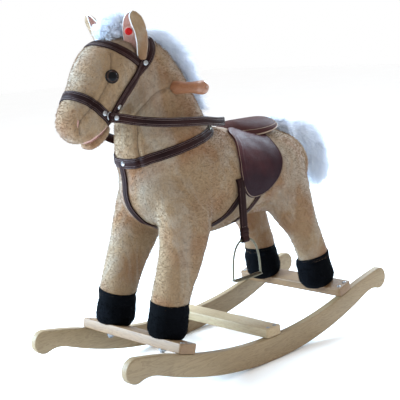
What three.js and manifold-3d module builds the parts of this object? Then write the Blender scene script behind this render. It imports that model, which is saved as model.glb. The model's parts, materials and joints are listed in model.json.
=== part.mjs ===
// Rocking horse: a stuffed horse with saddle and bridle on a wooden rocker base.
// Millimetres. +X is forward (the head end), +Y is the horse's left, +Z is up.
// The floor is Z = 0 and the origin is under the middle of the whole object.

import * as THREE from 'three'
import { mergeVertices } from 'three/addons/utils/BufferGeometryUtils.js'
import Module from 'manifold-3d'

const wasm = await Module()
wasm.setup()

// ---- driving dimensions -------------------------------------------------------------------

const GAP = 0.3 // clearance between pieces that touch
const WIDTH = 280 // over both rockers

const ROCKER = {
  thick: 16, // along Y
  baseRadius: 750, // arc that rolls on the floor
  baseAngle: 22, // degrees of that arc on each side of the middle
  flat: 36, // short level stretch at the lowest point
  topRadius: 844, // hollow top edge that the slats sit on
  topAngle: 17.6,
  middleDepth: 46.6, // height of the rocker at the middle
  bulbX: 341, // rounded end
  bulbZ: 81.5,
  bulbRadius: 22.5,
}

const SLAT = { width: 40, thick: 18, station: 225, corner: 5 }
const SCREW = { headRadius: 4, shankRadius: 2.2, length: 36, head: 3, inset: 8, spread: 9 }

const LEG_ROD = { radius: 4, spacing: 74, below: 9 } // threaded steel rod, bent to an arch
const NUT = { radius: 7.5, thick: 6.5 }

const HOOF = { radius: 33, height: 58, swell: 35, inset: 5 }

const HANDLE = { x: 128, z: 533, halfLength: 133, core: 9, waist: 10, shoulder: 12.5, neckSide: 52 }
const EYE = { x: 266, y: 51.5, z: 565, radius: 9.8, bulge: 6 }
const STRAP = { width: 15, thick: 1.9 }
const FLAP_THICK = 2.1
const LEATHER = {
  x: 25,
  y: 102,
  top: 370,
  bottom: 237.5, // middle of the loop that carries the stirrup
  width: 14,
  thick: 3.2,
  loop: 5.8, // outer and inner radius of that loop
  eye: 3.9,
}
const STIRRUP = { width: 74, height: 74, wire: 3.4, tread: 16, treadThick: 3 }
const BUTTON = { radius: 6.5, depth: 7, clearance: 0.5 }

// ---- helpers: geometry to solid and back ---------------------------------------------------

const vec = (x, y, z) => new THREE.Vector3(x, y, z)
const AXIS_X = vec(1, 0, 0)
const AXIS_Y = vec(0, 1, 0)
const AXIS_Z = vec(0, 0, 1)
const mirrored = (solid) => solid.mirror([0, 1, 0])
const rad = THREE.MathUtils.degToRad

// A closed three.js geometry becomes a solid whose faces point out.
function solidOf(geometry) {
  const bare = geometry.index ? geometry.clone() : geometry
  bare.deleteAttribute('normal')
  bare.deleteAttribute('uv')
  const merged = mergeVertices(bare, 1e-3)
  const vertProperties = new Float32Array(merged.attributes.position.array)
  const triVerts = new Uint32Array(merged.index.array)
  const solid = new wasm.Manifold(new wasm.Mesh({ numProp: 3, vertProperties, triVerts }))
  if (solid.volume() > 0) return solid
  for (let i = 0; i < triVerts.length; i += 3) {
    ;[triVerts[i + 1], triVerts[i + 2]] = [triVerts[i + 2], triVerts[i + 1]]
  }
  return new wasm.Manifold(new wasm.Mesh({ numProp: 3, vertProperties, triVerts }))
}

// A solid becomes a geometry that a mesh can show. Slivers finer than the tolerance go.
function geometryOf(solid, tolerance = 0.02) {
  const mesh = solid.simplify(tolerance).getMesh()
  const geometry = new THREE.BufferGeometry()
  geometry.setAttribute('position', new THREE.BufferAttribute(mesh.vertProperties, 3))
  geometry.setIndex(new THREE.BufferAttribute(mesh.triVerts, 1))
  geometry.computeVertexNormals()
  return geometry
}

// The largest separate body of a solid: offcuts that a cut leaves behind are dropped.
const mainBody = (solid) => solid.decompose().sort((a, b) => b.volume() - a.volume())[0]

const placed = (geometry, matrix) => solidOf(geometry.applyMatrix4(matrix))

function boxSolid(sizeX, sizeY, sizeZ, x, y, z) {
  return solidOf(new THREE.BoxGeometry(sizeX, sizeY, sizeZ).translate(x, y, z))
}

// A turned piece: the profile's points are [radius, height] from axis to axis, turned about Z.
function turned(profile, segments = 16) {
  const points = profile.map(([radius, height]) => new THREE.Vector2(radius, height))
  return new THREE.LatheGeometry(points, segments).rotateX(Math.PI / 2)
}

function cylinderAlong(from, to, radius, segments = 12) {
  const axis = to.clone().sub(from)
  const geometry = turned([[0, 0], [radius, 0], [radius, axis.length()], [0, axis.length()]], segments)
  const turn = new THREE.Quaternion().setFromUnitVectors(AXIS_Z, axis.clone().normalize())
  return placed(geometry, new THREE.Matrix4().compose(from, turn, vec(1, 1, 1)))
}

// A rounded body along a curve. Each station is [x, y, z, half width, half depth]: the width is
// measured along `side`, the depth across the curve. Domes close both ends.
function rounded(stations, { grow = 0, side = AXIS_Y, sides = 20, rings = 12, domes = [20, 20] } = {}) {
  const spine = new THREE.CatmullRomCurve3(stations.map(([x, y, z]) => vec(x, y, z)), false, 'catmullrom')
  const sizes = new THREE.CatmullRomCurve3(stations.map((s) => vec(s[3], s[4], 0)), false, 'catmullrom')
  const domeRings = 3
  const total = rings + 2 * domeRings
  const geometry = new THREE.SphereGeometry(1, sides, total)
  const position = geometry.attributes.position
  for (let ring = 0; ring <= total; ring++) {
    const along = THREE.MathUtils.clamp((ring - domeRings) / rings, 0, 1)
    const beyondStart = Math.max(0, domeRings - ring) / domeRings
    const beyondEnd = Math.max(0, ring - domeRings - rings) / domeRings
    const roundness = Math.cos((beyondStart + beyondEnd) * (Math.PI / 2))
    const tangent = spine.getTangent(along)
    const across = tangent.clone().cross(side).normalize()
    const lift = Math.sin(beyondEnd * (Math.PI / 2)) * (domes[1] + grow)
    const drop = Math.sin(beyondStart * (Math.PI / 2)) * (domes[0] + grow)
    const centre = spine.getPoint(along).addScaledVector(tangent, lift - drop)
    const size = sizes.getPoint(along)
    for (let step = 0; step <= sides; step++) {
      const angle = ((step % sides) / sides) * Math.PI * 2
      const isPole = ring === 0 || ring === total
      const reach = isPole ? 0 : roundness
      const point = centre.clone()
      point.addScaledVector(side, Math.cos(angle) * reach * (size.x + grow))
      point.addScaledVector(across, Math.sin(angle) * reach * (size.y + grow))
      position.setXYZ(ring * (sides + 1) + step, point.x, point.y, point.z)
    }
  }
  return solidOf(geometry)
}

// A flat strap that follows a curve, its width along `up`, its thickness away from the body.
function strapAlong(points, width, thick, steps = 16, up = AXIS_Z) {
  const curve = new THREE.CatmullRomCurve3(points.map(([x, y, z]) => vec(x, y, z)))
  const geometry = new THREE.BoxGeometry(1, 1, 1, steps, 1, 1)
  const position = geometry.attributes.position
  for (let i = 0; i < position.count; i++) {
    const along = THREE.MathUtils.clamp(position.getX(i) + 0.5, 0, 1)
    const out = curve.getTangent(along).cross(up).normalize()
    const point = curve.getPoint(along)
    point.addScaledVector(up, position.getY(i) * width)
    point.addScaledVector(out, position.getZ(i) * thick)
    position.setXYZ(i, point.x, point.y, point.z)
  }
  return solidOf(geometry)
}

// A side-view outline, points [x, z], carried right across the object along Y.
function acrossY(shape, curveSegments = 6, fromY = -WIDTH / 2, toY = WIDTH / 2) {
  const geometry = new THREE.ExtrudeGeometry(shape, {
    depth: toY - fromY,
    bevelEnabled: false,
    curveSegments,
  })
  return solidOf(geometry.rotateX(Math.PI / 2).translate(0, toY, 0))
}

// The side view of a strip of even width along a smooth line of points [x, z].
function strip(points, width, divisions = 6) {
  const line = new THREE.SplineCurve(points.map(([x, z]) => new THREE.Vector2(x, z)))
  const upper = []
  const lower = []
  for (let i = 0; i <= divisions; i++) {
    const point = line.getPoint(i / divisions)
    const tangent = line.getTangent(i / divisions)
    const normal = new THREE.Vector2(-tangent.y, tangent.x).multiplyScalar(width / 2)
    upper.push(point.clone().add(normal))
    lower.unshift(point.clone().sub(normal))
  }
  return new THREE.Shape([...upper, ...lower])
}

const outline = (points) => new THREE.Shape(points.map(([x, z]) => new THREE.Vector2(x, z)))

// ---- stuffed body ---------------------------------------------------------------------------

const BARREL = [
  [-197, 0, 350, 70, 63],
  [-161, 0, 344, 92, 83],
  [-96, 0, 340, 96, 88],
  [-21, 0, 344, 96, 96],
  [54, 0, 352, 95, 102],
  [114, 0, 355, 88, 94],
  [157, 0, 356, 70, 74],
]
const NECK = [
  [97, 0, 353, 82, 88],
  [114, 0, 403, 82, 100],
  [126, 0, 455, 71, 94],
  [136, 0, 508, 58, 79],
  [152, 0, 556, 50, 66],
  [180, 0, 592, 45, 52],
]
const HEAD = [
  [210, 0, 600, 44, 36],
  [230, 0, 581, 55, 54],
  [252, 0, 553, 56, 57],
  [277, 0, 522, 48, 48],
  [298, 0, 495, 46, 46],
  [310, 0, 480, 43, 42],
]
const FRONT_LEG = [
  [118, 48, 360, 34, 58],
  [130, 57, 318, 40, 60],
  [147, 67, 268, 41, 49],
  [168, 73, 222, 37, 40],
  [189, 74, 182, 34, 36],
  [206, 74, 138, 33, 34],
]
const REAR_LEG = [
  [-140, 50, 345, 36, 66],
  [-142, 60, 300, 38, 62],
  [-152, 70, 262, 36, 50],
  [-170, 76, 225, 31, 35],
  [-189, 77, 184, 30, 31],
  [-206, 76, 140, 32, 32],
]

const barrel = (grow) => rounded(BARREL, { grow, sides: 20, rings: 9, domes: [44, 50] })
const neck = (grow) => rounded(NECK, { grow, sides: 18, rings: 7, domes: [20, 24] })
const skull = (grow) => rounded(HEAD, { grow, sides: 18, rings: 9, domes: [26, 28] })
const trunk = (grow) => barrel(grow).add(neck(grow))
const trunkGap = trunk(GAP)
const skullGap = skull(GAP)

// ---- rocker base ----------------------------------------------------------------------------

function rockerShape() {
  const { baseRadius, flat, topRadius, middleDepth, bulbX, bulbZ, bulbRadius } = ROCKER
  const down = -Math.PI / 2
  const baseEnd = down + rad(ROCKER.baseAngle)
  const topEnd = down + rad(ROCKER.topAngle)
  const topCentre = middleDepth + topRadius
  const baseCentre = Math.sqrt(baseRadius ** 2 - (flat / 2) ** 2)
  const half = new THREE.Path()
  half.absarc(0, baseCentre, baseRadius, down + Math.asin(flat / 2 / baseRadius), baseEnd, false)
  const leave = new THREE.Vector2(Math.cos(baseEnd), Math.sin(baseEnd)).multiplyScalar(baseRadius)
  leave.y += baseCentre
  const bulbStart = rad(250)
  const bulbEnd = rad(100)
  const handle = 20
  half.bezierCurveTo(
    leave.x - Math.sin(baseEnd) * handle,
    leave.y + Math.cos(baseEnd) * handle,
    bulbX + Math.cos(bulbStart) * bulbRadius + Math.sin(bulbStart) * handle,
    bulbZ + Math.sin(bulbStart) * bulbRadius - Math.cos(bulbStart) * handle,
    bulbX + Math.cos(bulbStart) * bulbRadius,
    bulbZ + Math.sin(bulbStart) * bulbRadius,
  )
  half.absarc(bulbX, bulbZ, bulbRadius, bulbStart, bulbEnd + Math.PI * 2, false)
  const meet = new THREE.Vector2(Math.cos(topEnd) * topRadius, topCentre + Math.sin(topEnd) * topRadius)
  half.bezierCurveTo(
    bulbX + Math.cos(bulbEnd) * bulbRadius - Math.sin(bulbEnd) * handle,
    bulbZ + Math.sin(bulbEnd) * bulbRadius + Math.cos(bulbEnd) * handle,
    meet.x - Math.sin(topEnd) * handle,
    meet.y + Math.cos(topEnd) * handle,
    meet.x,
    meet.y,
  )
  half.absarc(0, topCentre, topRadius, topEnd, down, true)
  const points = half.getPoints(7)
  const other = points
    .filter((p) => p.x > 0.01)
    .map((p) => new THREE.Vector2(-p.x, p.y))
    .reverse()
  return new THREE.Shape([...points, ...other])
}

// Where a slat lies: its middle, on the rocker's top edge, turned with that edge.
function slatMatrix(station) {
  const angle = Math.asin(station / ROCKER.topRadius)
  const seat = Math.sqrt(ROCKER.topRadius ** 2 - (SLAT.width / 2) ** 2) - GAP - 0.15
  const centre = ROCKER.middleDepth + ROCKER.topRadius
  const place = vec(Math.sin(angle) * seat, 0, centre - Math.cos(angle) * seat)
  const turn = new THREE.Quaternion().setFromAxisAngle(AXIS_Y, -angle)
  return new THREE.Matrix4().compose(place, turn, vec(1, 1, 1))
}

function slatBoard(cornerRadius) {
  const halfWidth = SLAT.width / 2
  const halfLength = WIDTH / 2
  const r = cornerRadius
  const shape = new THREE.Shape()
  shape.moveTo(-halfWidth + r, -halfLength)
  shape.lineTo(halfWidth - r, -halfLength)
  shape.quadraticCurveTo(halfWidth, -halfLength, halfWidth, -halfLength + r)
  shape.lineTo(halfWidth, halfLength - r)
  shape.quadraticCurveTo(halfWidth, halfLength, halfWidth - r, halfLength)
  shape.lineTo(-halfWidth + r, halfLength)
  shape.quadraticCurveTo(-halfWidth, halfLength, -halfWidth, halfLength - r)
  shape.lineTo(-halfWidth, -halfLength + r)
  shape.quadraticCurveTo(-halfWidth, -halfLength, -halfWidth + r, -halfLength)
  return new THREE.ExtrudeGeometry(shape, { depth: SLAT.thick, bevelEnabled: false, curveSegments: 3 })
}

function screwGeometry(grow) {
  const { headRadius, shankRadius, length, head } = SCREW
  const top = SLAT.thick - 0.6
  return turned([
    [0, top - length - grow],
    [shankRadius + grow, top - length + 4 - grow],
    [shankRadius + grow, top - head],
    [headRadius + grow, top - 0.4],
    [headRadius + grow, top + (grow ? 2 : 0)],
    [0, top + (grow ? 2 : 0)],
  ], 8)
}

const STATIONS = { front: SLAT.station, middle: 0, rear: -SLAT.station }
const screws = []
for (const [row, station] of Object.entries(STATIONS)) {
  for (const [hand, sign] of [['left', 1], ['right', -1]]) {
    for (const [place, shift] of [['a', SCREW.spread], ['b', -SCREW.spread]]) {
      const at = new THREE.Matrix4().makeTranslation(shift, sign * (WIDTH / 2 - SCREW.inset), 0)
      const matrix = slatMatrix(station).multiply(at)
      screws.push({
        name: `screw_${row}_${hand}_${place}`,
        solid: placed(screwGeometry(0), matrix),
        hole: placed(screwGeometry(GAP), matrix),
      })
    }
  }
}
const screwHoles = screws.map((s) => s.hole).reduce((a, b) => a.add(b))

// ---- inner frame: steel rod arches in the legs, beam along the back, post in the neck --------

const slatUp = (station) => vec(0, 0, 1).transformDirection(slatMatrix(station))
const onSlat = (station, height) => vec(0, 0, height).applyMatrix4(slatMatrix(station))

// The rod leaves the slat square to it, follows the leg and crosses the body under the beam.
function archPoints(station, knee, shoulder) {
  const low = onSlat(station, -LEG_ROD.below)
  const high = onSlat(station, SLAT.thick + 30)
  const side = [
    [low.x, LEG_ROD.spacing, low.z],
    [high.x, LEG_ROD.spacing, high.z],
    knee,
    shoulder,
  ]
  const middle = [shoulder[0], 0, shoulder[2] + 22]
  return [...side, middle, ...side.map(([x, y, z]) => [x, -y, z]).reverse()]
}

function rodSolid(points, radius) {
  const curve = new THREE.CatmullRomCurve3(points.map(([x, y, z]) => vec(x, y, z)))
  const section = new THREE.Shape().absarc(0, 0, radius, 0, Math.PI * 2, false)
  return solidOf(new THREE.ExtrudeGeometry(section, {
    steps: 32,
    extrudePath: curve,
    bevelEnabled: false,
    curveSegments: 3,
  }))
}

const FRONT_ARCH = archPoints(SLAT.station, [170, 73, 222], [138, 50, 318])
const REAR_ARCH = archPoints(-SLAT.station, [-176, 75, 222], [-146, 50, 312])
const frontArch = rodSolid(FRONT_ARCH, LEG_ROD.radius)
const rearArch = rodSolid(REAR_ARCH, LEG_ROD.radius)
const frontArchRoom = rodSolid(FRONT_ARCH, LEG_ROD.radius + GAP + 0.15)
const rearArchRoom = rodSolid(REAR_ARCH, LEG_ROD.radius + GAP + 0.15)
const archRoom = frontArchRoom.add(rearArchRoom)

const BEAM = { fromX: -172, toX: 164, low: 326, high: 366, thick: 24 }
function beamSolid(grow) {
  const length = BEAM.toX - BEAM.fromX + 2 * grow
  const middle = (BEAM.toX + BEAM.fromX) / 2
  const height = BEAM.high - BEAM.low + 2 * grow
  return boxSolid(length, BEAM.thick + 2 * grow, height, middle, 0, (BEAM.high + BEAM.low) / 2)
}

const POST = { foot: [112, 366.4], head: [150, 578], width: 36, thick: 20 }
function postSolid(grow) {
  const shape = strip([POST.foot, [HANDLE.x, HANDLE.z - 60], POST.head], POST.width + 2 * grow, 4)
  const wide = POST.thick / 2 + grow
  return acrossY(shape, 4, -wide, wide)
}

const SOUND_BOX = { x: 15, z: 292, length: 86, width: 62, height: 40 }
function soundBoxSolid(grow) {
  const { x, z, length, width, height } = SOUND_BOX
  return boxSolid(length + 2 * grow, width + 2 * grow, height + 2 * grow, x, 0, z)
}
const soundBoxHatch = boxSolid(SOUND_BOX.length - 16, SOUND_BOX.width - 16, 90, SOUND_BOX.x, 0, 250)

function handleSolid(grow) {
  const { halfLength, core, waist, shoulder, neckSide } = HANDLE
  const half = [
    [core, neckSide - 8],
    [shoulder, neckSide],
    [shoulder, neckSide + 6],
    [waist + 1, neckSide + 22],
    [waist, neckSide + 42],
    [waist + 1.6, neckSide + 60],
    [shoulder - 0.2, neckSide + 70],
    [shoulder - 1.2, halfLength - 4.5],
    [shoulder - 5, halfLength - 0.9],
  ].map(([radius, height]) => [radius + grow, height])
  const end = halfLength + grow
  const profile = [
    [0, -end],
    ...half.map(([radius, height]) => [radius, -height]).reverse(),
    ...half,
    [0, end],
  ]
  const matrix = new THREE.Matrix4().makeTranslation(HANDLE.x, 0, HANDLE.z)
  return placed(turned(profile, 12).rotateX(Math.PI / 2), matrix)
}
const handleRoom = handleSolid(GAP)

// ---- head, ears, eyes, jaw --------------------------------------------------------------------

// The mouth is cut slanting into the muzzle; the jaw turns about a line across its inner end.
const JAW = [
  [262, 0, 475, 24, 8],
  [273, 0, 466, 28, 10],
  [284, 0, 457, 27, 10],
  [292, 0, 450, 21, 8],
]
const JAW_ROOM = 1 // clearance for the jaw to turn in
const MOUTH = [[259, 489], [273, 479], [347, 436], [347, 396], [259, 396]]
const jawBody = (grow) => rounded(JAW, { grow, sides: 14, rings: 6, domes: [8, 9] })

function eyeSolid(grow) {
  const geometry = new THREE.SphereGeometry(1, 12, 8)
  const turn = new THREE.Quaternion().setFromEuler(new THREE.Euler(0, 0, rad(-22)))
  const size = vec(EYE.radius + grow, EYE.bulge + grow, EYE.radius + grow)
  return placed(geometry, new THREE.Matrix4().compose(vec(EYE.x, EYE.y, EYE.z), turn, size))
}

const EAR = [
  [197, 36, 597, 17, 11],
  [205, 43, 620, 21, 11],
  [215, 51, 645, 19, 9],
  [222, 57, 662, 9, 6],
]
const EAR_SIDE = vec(0.62, -0.75, 0.2).normalize()
const earBody = (grow) => rounded(EAR, { grow, side: EAR_SIDE, sides: 12, rings: 5, domes: [6, 8] })

// The sound button sits in a pocket in the open face of the left ear.
const buttonOut = AXIS_Z.clone().cross(EAR_SIDE).normalize()
const buttonFace = vec(216, 45, 638).addScaledVector(buttonOut, 11.2)
function buttonSolid(grow, reach) {
  const from = buttonFace.clone().addScaledVector(buttonOut, -BUTTON.depth - reach)
  const to = buttonFace.clone().addScaledVector(buttonOut, grow > 0 ? 10 : 0)
  return cylinderAlong(from, to, BUTTON.radius + grow, 16)
}

// ---- mane, forelock, tail -----------------------------------------------------------------------

const MANE = [
  [172, 0, 626, 20, 14],
  [132, 0, 625, 23, 17],
  [92, 0, 597, 22, 19],
  [68, 0, 553, 20, 19],
  [53, 0, 505, 18, 17],
  [33, 0, 470, 12, 11],
]
const FORELOCK = [
  [187, 0, 642, 20, 14],
  [219, 0, 649, 28, 18],
  [251, 0, 639, 24, 15],
  [276, 0, 621, 14, 8],
]
const TAIL_ROOM = 1.5 // the tail swings this clear of the rump
const TAIL = [
  [-216, 0, 413, 14, 10],
  [-232, 0, 414, 18, 13],
  [-262, 0, 407, 27, 20],
  [-290, 0, 378, 33, 25],
  [-306, 0, 340, 33, 24],
  [-312, 0, 303, 20, 14],
]

// ---- straps and saddle ----------------------------------------------------------------------------

// A layer of leather over a body: everything between two distances from its surface.
function layer(body, inner, thick, region) {
  return mainBody(body(inner + thick).subtract(body(inner)).intersect(region))
}

const headAndNeck = (grow) => skull(grow).add(trunk(grow))
const BROW = [[280, 645], [256, 624], [221, 598], [189, 581]]
const CROWN = [
  [148, 655], [160, 622], [172, 600], [190, 580],
  [216, 560], [240, 538], [258, 514], [268, 500],
]
const NOSE = [[345, 552], [321, 536], [306, 522], [293, 508], [262, 480]]
const BREAST = [[245, 402], [214, 406], [195, 414], [156, 424], [109, 434], [60, 443], [12, 455]]
const GIRTH = [[-2, 360], [8, 342], [20, 321], [34, 298], [52, 278], [76, 262], [100, 236]]
const browband = layer(headAndNeck, GAP, STRAP.thick, acrossY(strip(BROW, STRAP.width)))
const crownInner = GAP * 2 + STRAP.thick
const crown = layer(headAndNeck, crownInner, STRAP.thick, acrossY(strip(CROWN, STRAP.width)))
const noseband = layer(skull, GAP, STRAP.thick, acrossY(strip(NOSE, STRAP.width)))
const breastStrap = layer(trunk, GAP, STRAP.thick, acrossY(strip(BREAST, STRAP.width + 1)))
const girthRegion = acrossY(strip(GIRTH, 12))
const chestStrap = layer(trunk, GAP, STRAP.thick, boxSolid(136, STRAP.width, 150, 177, 0, 314))

const FLAP = [
  [5, 472], [0, 422], [14, 397], [23, 352], [13, 322], [-13, 309],
  [-51, 315], [-87, 339], [-107, 373], [-106, 411], [-95, 471],
]
const FLAP_MIDDLE = [-40, 380]
const flapOutline = (scale) => outline(FLAP.map((point) => (
  point.map((value, i) => FLAP_MIDDLE[i] + (value - FLAP_MIDDLE[i]) * scale)
)))
const flaps = layer(barrel, GAP, FLAP_THICK, acrossY(flapOutline(1)))
const girth = layer(barrel, GAP, STRAP.thick, girthRegion.subtract(acrossY(flapOutline(1.01))))
const SEAT = [
  [-20, 0, 432, 14, 10],
  [-50, 0, 428, 36, 18],
  [-95, 0, 425, 56, 24],
  [-140, 0, 425, 56, 25],
  [-166, 0, 424, 40, 20],
]
const seat = rounded(SEAT, { sides: 16, rings: 7, domes: [10, 18] })

const REIN = [
  [259, 56, 495], [233, 64, 487], [187, 78, 478], [138, 81, 473],
  [88, 79, 469], [43, 66, 462], [6, 46, 458], [-13, 30, 455],
]

// ---- stirrups ---------------------------------------------------------------------------------------

function stirrupSolid() {
  const { width, height, wire, tread, treadThick } = STIRRUP
  const top = LEATHER.bottom + 1.3
  const low = top - height
  const half = width / 2
  const arch = new THREE.CatmullRomCurve3([
    [-half, low], [-half + 1, low + 26], [-half + 9, low + 48], [-half + 24, low + 66], [0, height + low],
    [half - 24, low + 66], [half - 9, low + 48], [half - 1, low + 26], [half, low],
  ].map(([x, z]) => vec(LEATHER.x + x, LEATHER.y, z)))
  const section = new THREE.Shape().absarc(0, 0, wire / 2, 0, Math.PI * 2, false)
  const bow = solidOf(new THREE.ExtrudeGeometry(section, {
    steps: 22,
    extrudePath: arch,
    bevelEnabled: false,
    curveSegments: 3,
  }))
  const plate = boxSolid(width + wire, tread, treadThick, LEATHER.x, LEATHER.y, low)
  return bow.add(plate)
}

// The leather is a doubled strap, sewn into a loop at its foot that the stirrup's bow runs through.
function leatherSolid() {
  const { x, y, top, bottom, width, thick, loop, eye } = LEATHER
  const across = (extra) => [vec(x - width / 2 - extra, y, bottom), vec(x + width / 2 + extra, y, bottom)]
  const strap = boxSolid(width, thick, top - bottom, x, y, (top + bottom) / 2)
  return strap.add(cylinderAlong(...across(0), loop, 14)).subtract(cylinderAlong(...across(2), eye, 14))
}

// ---- materials ----------------------------------------------------------------------------------------

const finish = (color, roughness, metalness = 0) => ({ color, roughness, metalness })
const PLUSH = finish(0xd8bd94, 0.95)
const HAIR = finish(0xf0f1f4, 0.9)
const HOOF_PLUSH = finish(0x15161a, 0.95)
const STRAP_LEATHER = finish(0x43271f, 0.6)
const SADDLE_LEATHER = finish(0x54302b, 0.5)
const PALE_WOOD = finish(0xcdbb92, 0.6)
const PINE = finish(0xcf9f6a, 0.55)
const TURNED_WOOD = finish(0xb9713a, 0.4)
const STEEL = finish(0xb4b2a8, 0.35, 0.9)
const NICKEL = finish(0xb9ab84, 0.3, 0.9)
const EYE_GLOSS = finish(0x1a0e08, 0.08)
const LINING = finish(0xe2a79c, 0.9)
const BUTTON_RED = finish(0xc02a24, 0.6)
const CASE_PLASTIC = finish(0xd9d6cf, 0.5)

const group = new THREE.Group()

function addPart(name, solid, look, tolerance) {
  const mesh = new THREE.Mesh(geometryOf(solid, tolerance), new THREE.MeshStandardMaterial(look))
  mesh.name = name
  group.add(mesh)
}

// Adds the left piece as it is built and the right one as its mirror image.
function addPair(name, solid, look, tolerance) {
  addPart(`${name}_left`, solid, look, tolerance)
  addPart(`${name}_right`, mirrored(solid), look, tolerance)
}

// ---- assembly: rocker base -----------------------------------------------------------------------------

const rocker = acrossY(rockerShape(), 8, WIDTH / 2 - ROCKER.thick, WIDTH / 2).subtract(screwHoles)
addPair('rocker', rocker, PALE_WOOD)

for (const [row, station] of Object.entries(STATIONS)) {
  const board = placed(slatBoard(SLAT.corner), slatMatrix(station))
  addPart(`slat_${row}`, board.subtract(screwHoles).subtract(archRoom), station ? PINE : PALE_WOOD)
}
for (const screw of screws) addPart(screw.name, screw.solid, STEEL)

function nutSolid(station) {
  const geometry = new THREE.CylinderGeometry(NUT.radius, NUT.radius, NUT.thick, 6)
  geometry.rotateX(Math.PI / 2).translate(0, LEG_ROD.spacing, -NUT.thick / 2 - GAP)
  return placed(geometry, slatMatrix(station)).subtract(archRoom)
}
addPart('front_leg_arch', frontArch, STEEL)
addPart('rear_leg_arch', rearArch, STEEL)
addPair('front_leg_nut', nutSolid(SLAT.station), STEEL)
addPair('rear_leg_nut', nutSolid(-SLAT.station), STEEL)

// ---- assembly: inner frame --------------------------------------------------------------------------------

addPart('spine_beam', beamSolid(0).subtract(archRoom), PINE)
addPart('neck_post', postSolid(0).subtract(handleRoom).subtract(beamSolid(GAP)), PINE)
addPart('sound_box', soundBoxSolid(0).subtract(beamSolid(GAP)), CASE_PLASTIC)
addPart('handle', handleSolid(0), TURNED_WOOD)

// ---- assembly: stuffed pieces ---------------------------------------------------------------------------------

const innerRoom = archRoom
  .add(beamSolid(GAP))
  .add(postSolid(GAP))
  .add(soundBoxSolid(GAP))
  .add(soundBoxHatch)
const torso = trunk(0).subtract(innerRoom).subtract(handleRoom)
addPart('torso', mainBody(torso), PLUSH, 0.05)

const eyeRooms = eyeSolid(GAP).add(mirrored(eyeSolid(GAP)))
const mouthRoom = acrossY(outline(MOUTH)).add(jawBody(JAW_ROOM))
const head = skull(0).subtract(trunkGap).subtract(eyeRooms).subtract(mouthRoom)
addPart('head', mainBody(head), PLUSH, 0.05)
addPart('lower_jaw', jawBody(0), PLUSH)
addPair('eye', eyeSolid(0), EYE_GLOSS)

const ears = earBody(0).subtract(skullGap).subtract(trunkGap)
addPart('ear_left', mainBody(ears.subtract(buttonSolid(BUTTON.clearance, 2.5))), PLUSH)
addPart('ear_right', mainBody(mirrored(ears)), PLUSH)
addPart('ear_button', buttonSolid(0, 0), BUTTON_RED)

// A hoof stands on its slat, square to it.
function hoofSolid(station, grow) {
  const { radius, height, swell, inset } = HOOF
  const geometry = turned([
    [0, -grow],
    [radius - 4 + grow, -grow],
    [swell + grow, 12],
    [swell + grow, height * 0.5],
    [radius + grow, height - 3 + grow],
    [0, height + grow],
  ], 14)
  geometry.translate(-Math.sign(station) * inset, LEG_ROD.spacing, SLAT.thick + GAP)
  return placed(geometry, slatMatrix(station))
}
const legs = { front: [FRONT_LEG, SLAT.station], rear: [REAR_LEG, -SLAT.station] }
for (const [row, [stations, station]] of Object.entries(legs)) {
  const leg = rounded(stations, { sides: 14, rings: 8, domes: [16, 4] })
  const cut = leg.subtract(trunkGap).subtract(hoofSolid(station, GAP)).subtract(archRoom)
  addPair(`${row}_leg`, mainBody(cut), PLUSH, 0.05)
  addPair(`${row}_hoof`, hoofSolid(station, 0).subtract(archRoom), HOOF_PLUSH)
}

const earsRoom = earBody(GAP).add(mirrored(earBody(GAP)))
const crownRoom = layer(headAndNeck, crownInner - GAP, STRAP.thick + 2 * GAP, acrossY(strip(CROWN, 16)))
const browRoom = layer(headAndNeck, 0, STRAP.thick + 2 * GAP, acrossY(strip(BROW, 16)))
const strapRoom = crownRoom.add(browRoom)
const maneBody = (grow) => rounded(MANE, { grow, sides: 10, rings: 9, domes: [8, 10] })
const maneCut = maneBody(0).subtract(trunkGap).subtract(skullGap).subtract(strapRoom).subtract(earsRoom)
addPart('mane', mainBody(maneCut), HAIR, 0.05)
const forelock = rounded(FORELOCK, { sides: 12, rings: 6, domes: [8, 8] })
const forelockCut = forelock
  .subtract(trunkGap).subtract(skullGap).subtract(strapRoom).subtract(earsRoom)
  .subtract(maneBody(GAP))
addPart('forelock', mainBody(forelockCut), HAIR, 0.05)
const tail = rounded(TAIL, { sides: 12, rings: 7, domes: [8, 12] })
addPart('tail', mainBody(tail.subtract(barrel(TAIL_ROOM))), HAIR, 0.05)

// ---- assembly: bridle, harness, saddle ------------------------------------------------------------------------

addPart('browband', mainBody(browband.subtract(earsRoom)), STRAP_LEATHER)
addPart('cheek_strap', mainBody(crown.subtract(earsRoom)), STRAP_LEATHER)
addPart('noseband', noseband, STRAP_LEATHER)
addPart('breast_strap', breastStrap, STRAP_LEATHER)
addPart('chest_strap', chestStrap, STRAP_LEATHER)
addPart('girth', girth, STRAP_LEATHER)
addPair('rein', strapAlong(REIN, STRAP.width, STRAP.thick), STRAP_LEATHER)
addPart('saddle_flaps', flaps, SADDLE_LEATHER)
addPart('saddle_seat', mainBody(seat.subtract(barrel(2 * GAP + FLAP_THICK))), SADDLE_LEATHER)

addPair('stirrup_leather', leatherSolid(), STRAP_LEATHER)
addPair('stirrup', stirrupSolid(), NICKEL)

export default group
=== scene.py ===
"""Rocking horse: plush skin, hair, tack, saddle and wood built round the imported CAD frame."""

import json
import math

import bpy
import numpy as np
from mathutils import Matrix, Vector
from mathutils.bvhtree import BVHTree
from mathutils.kdtree import KDTree
from mathutils.noise import noise

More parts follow.
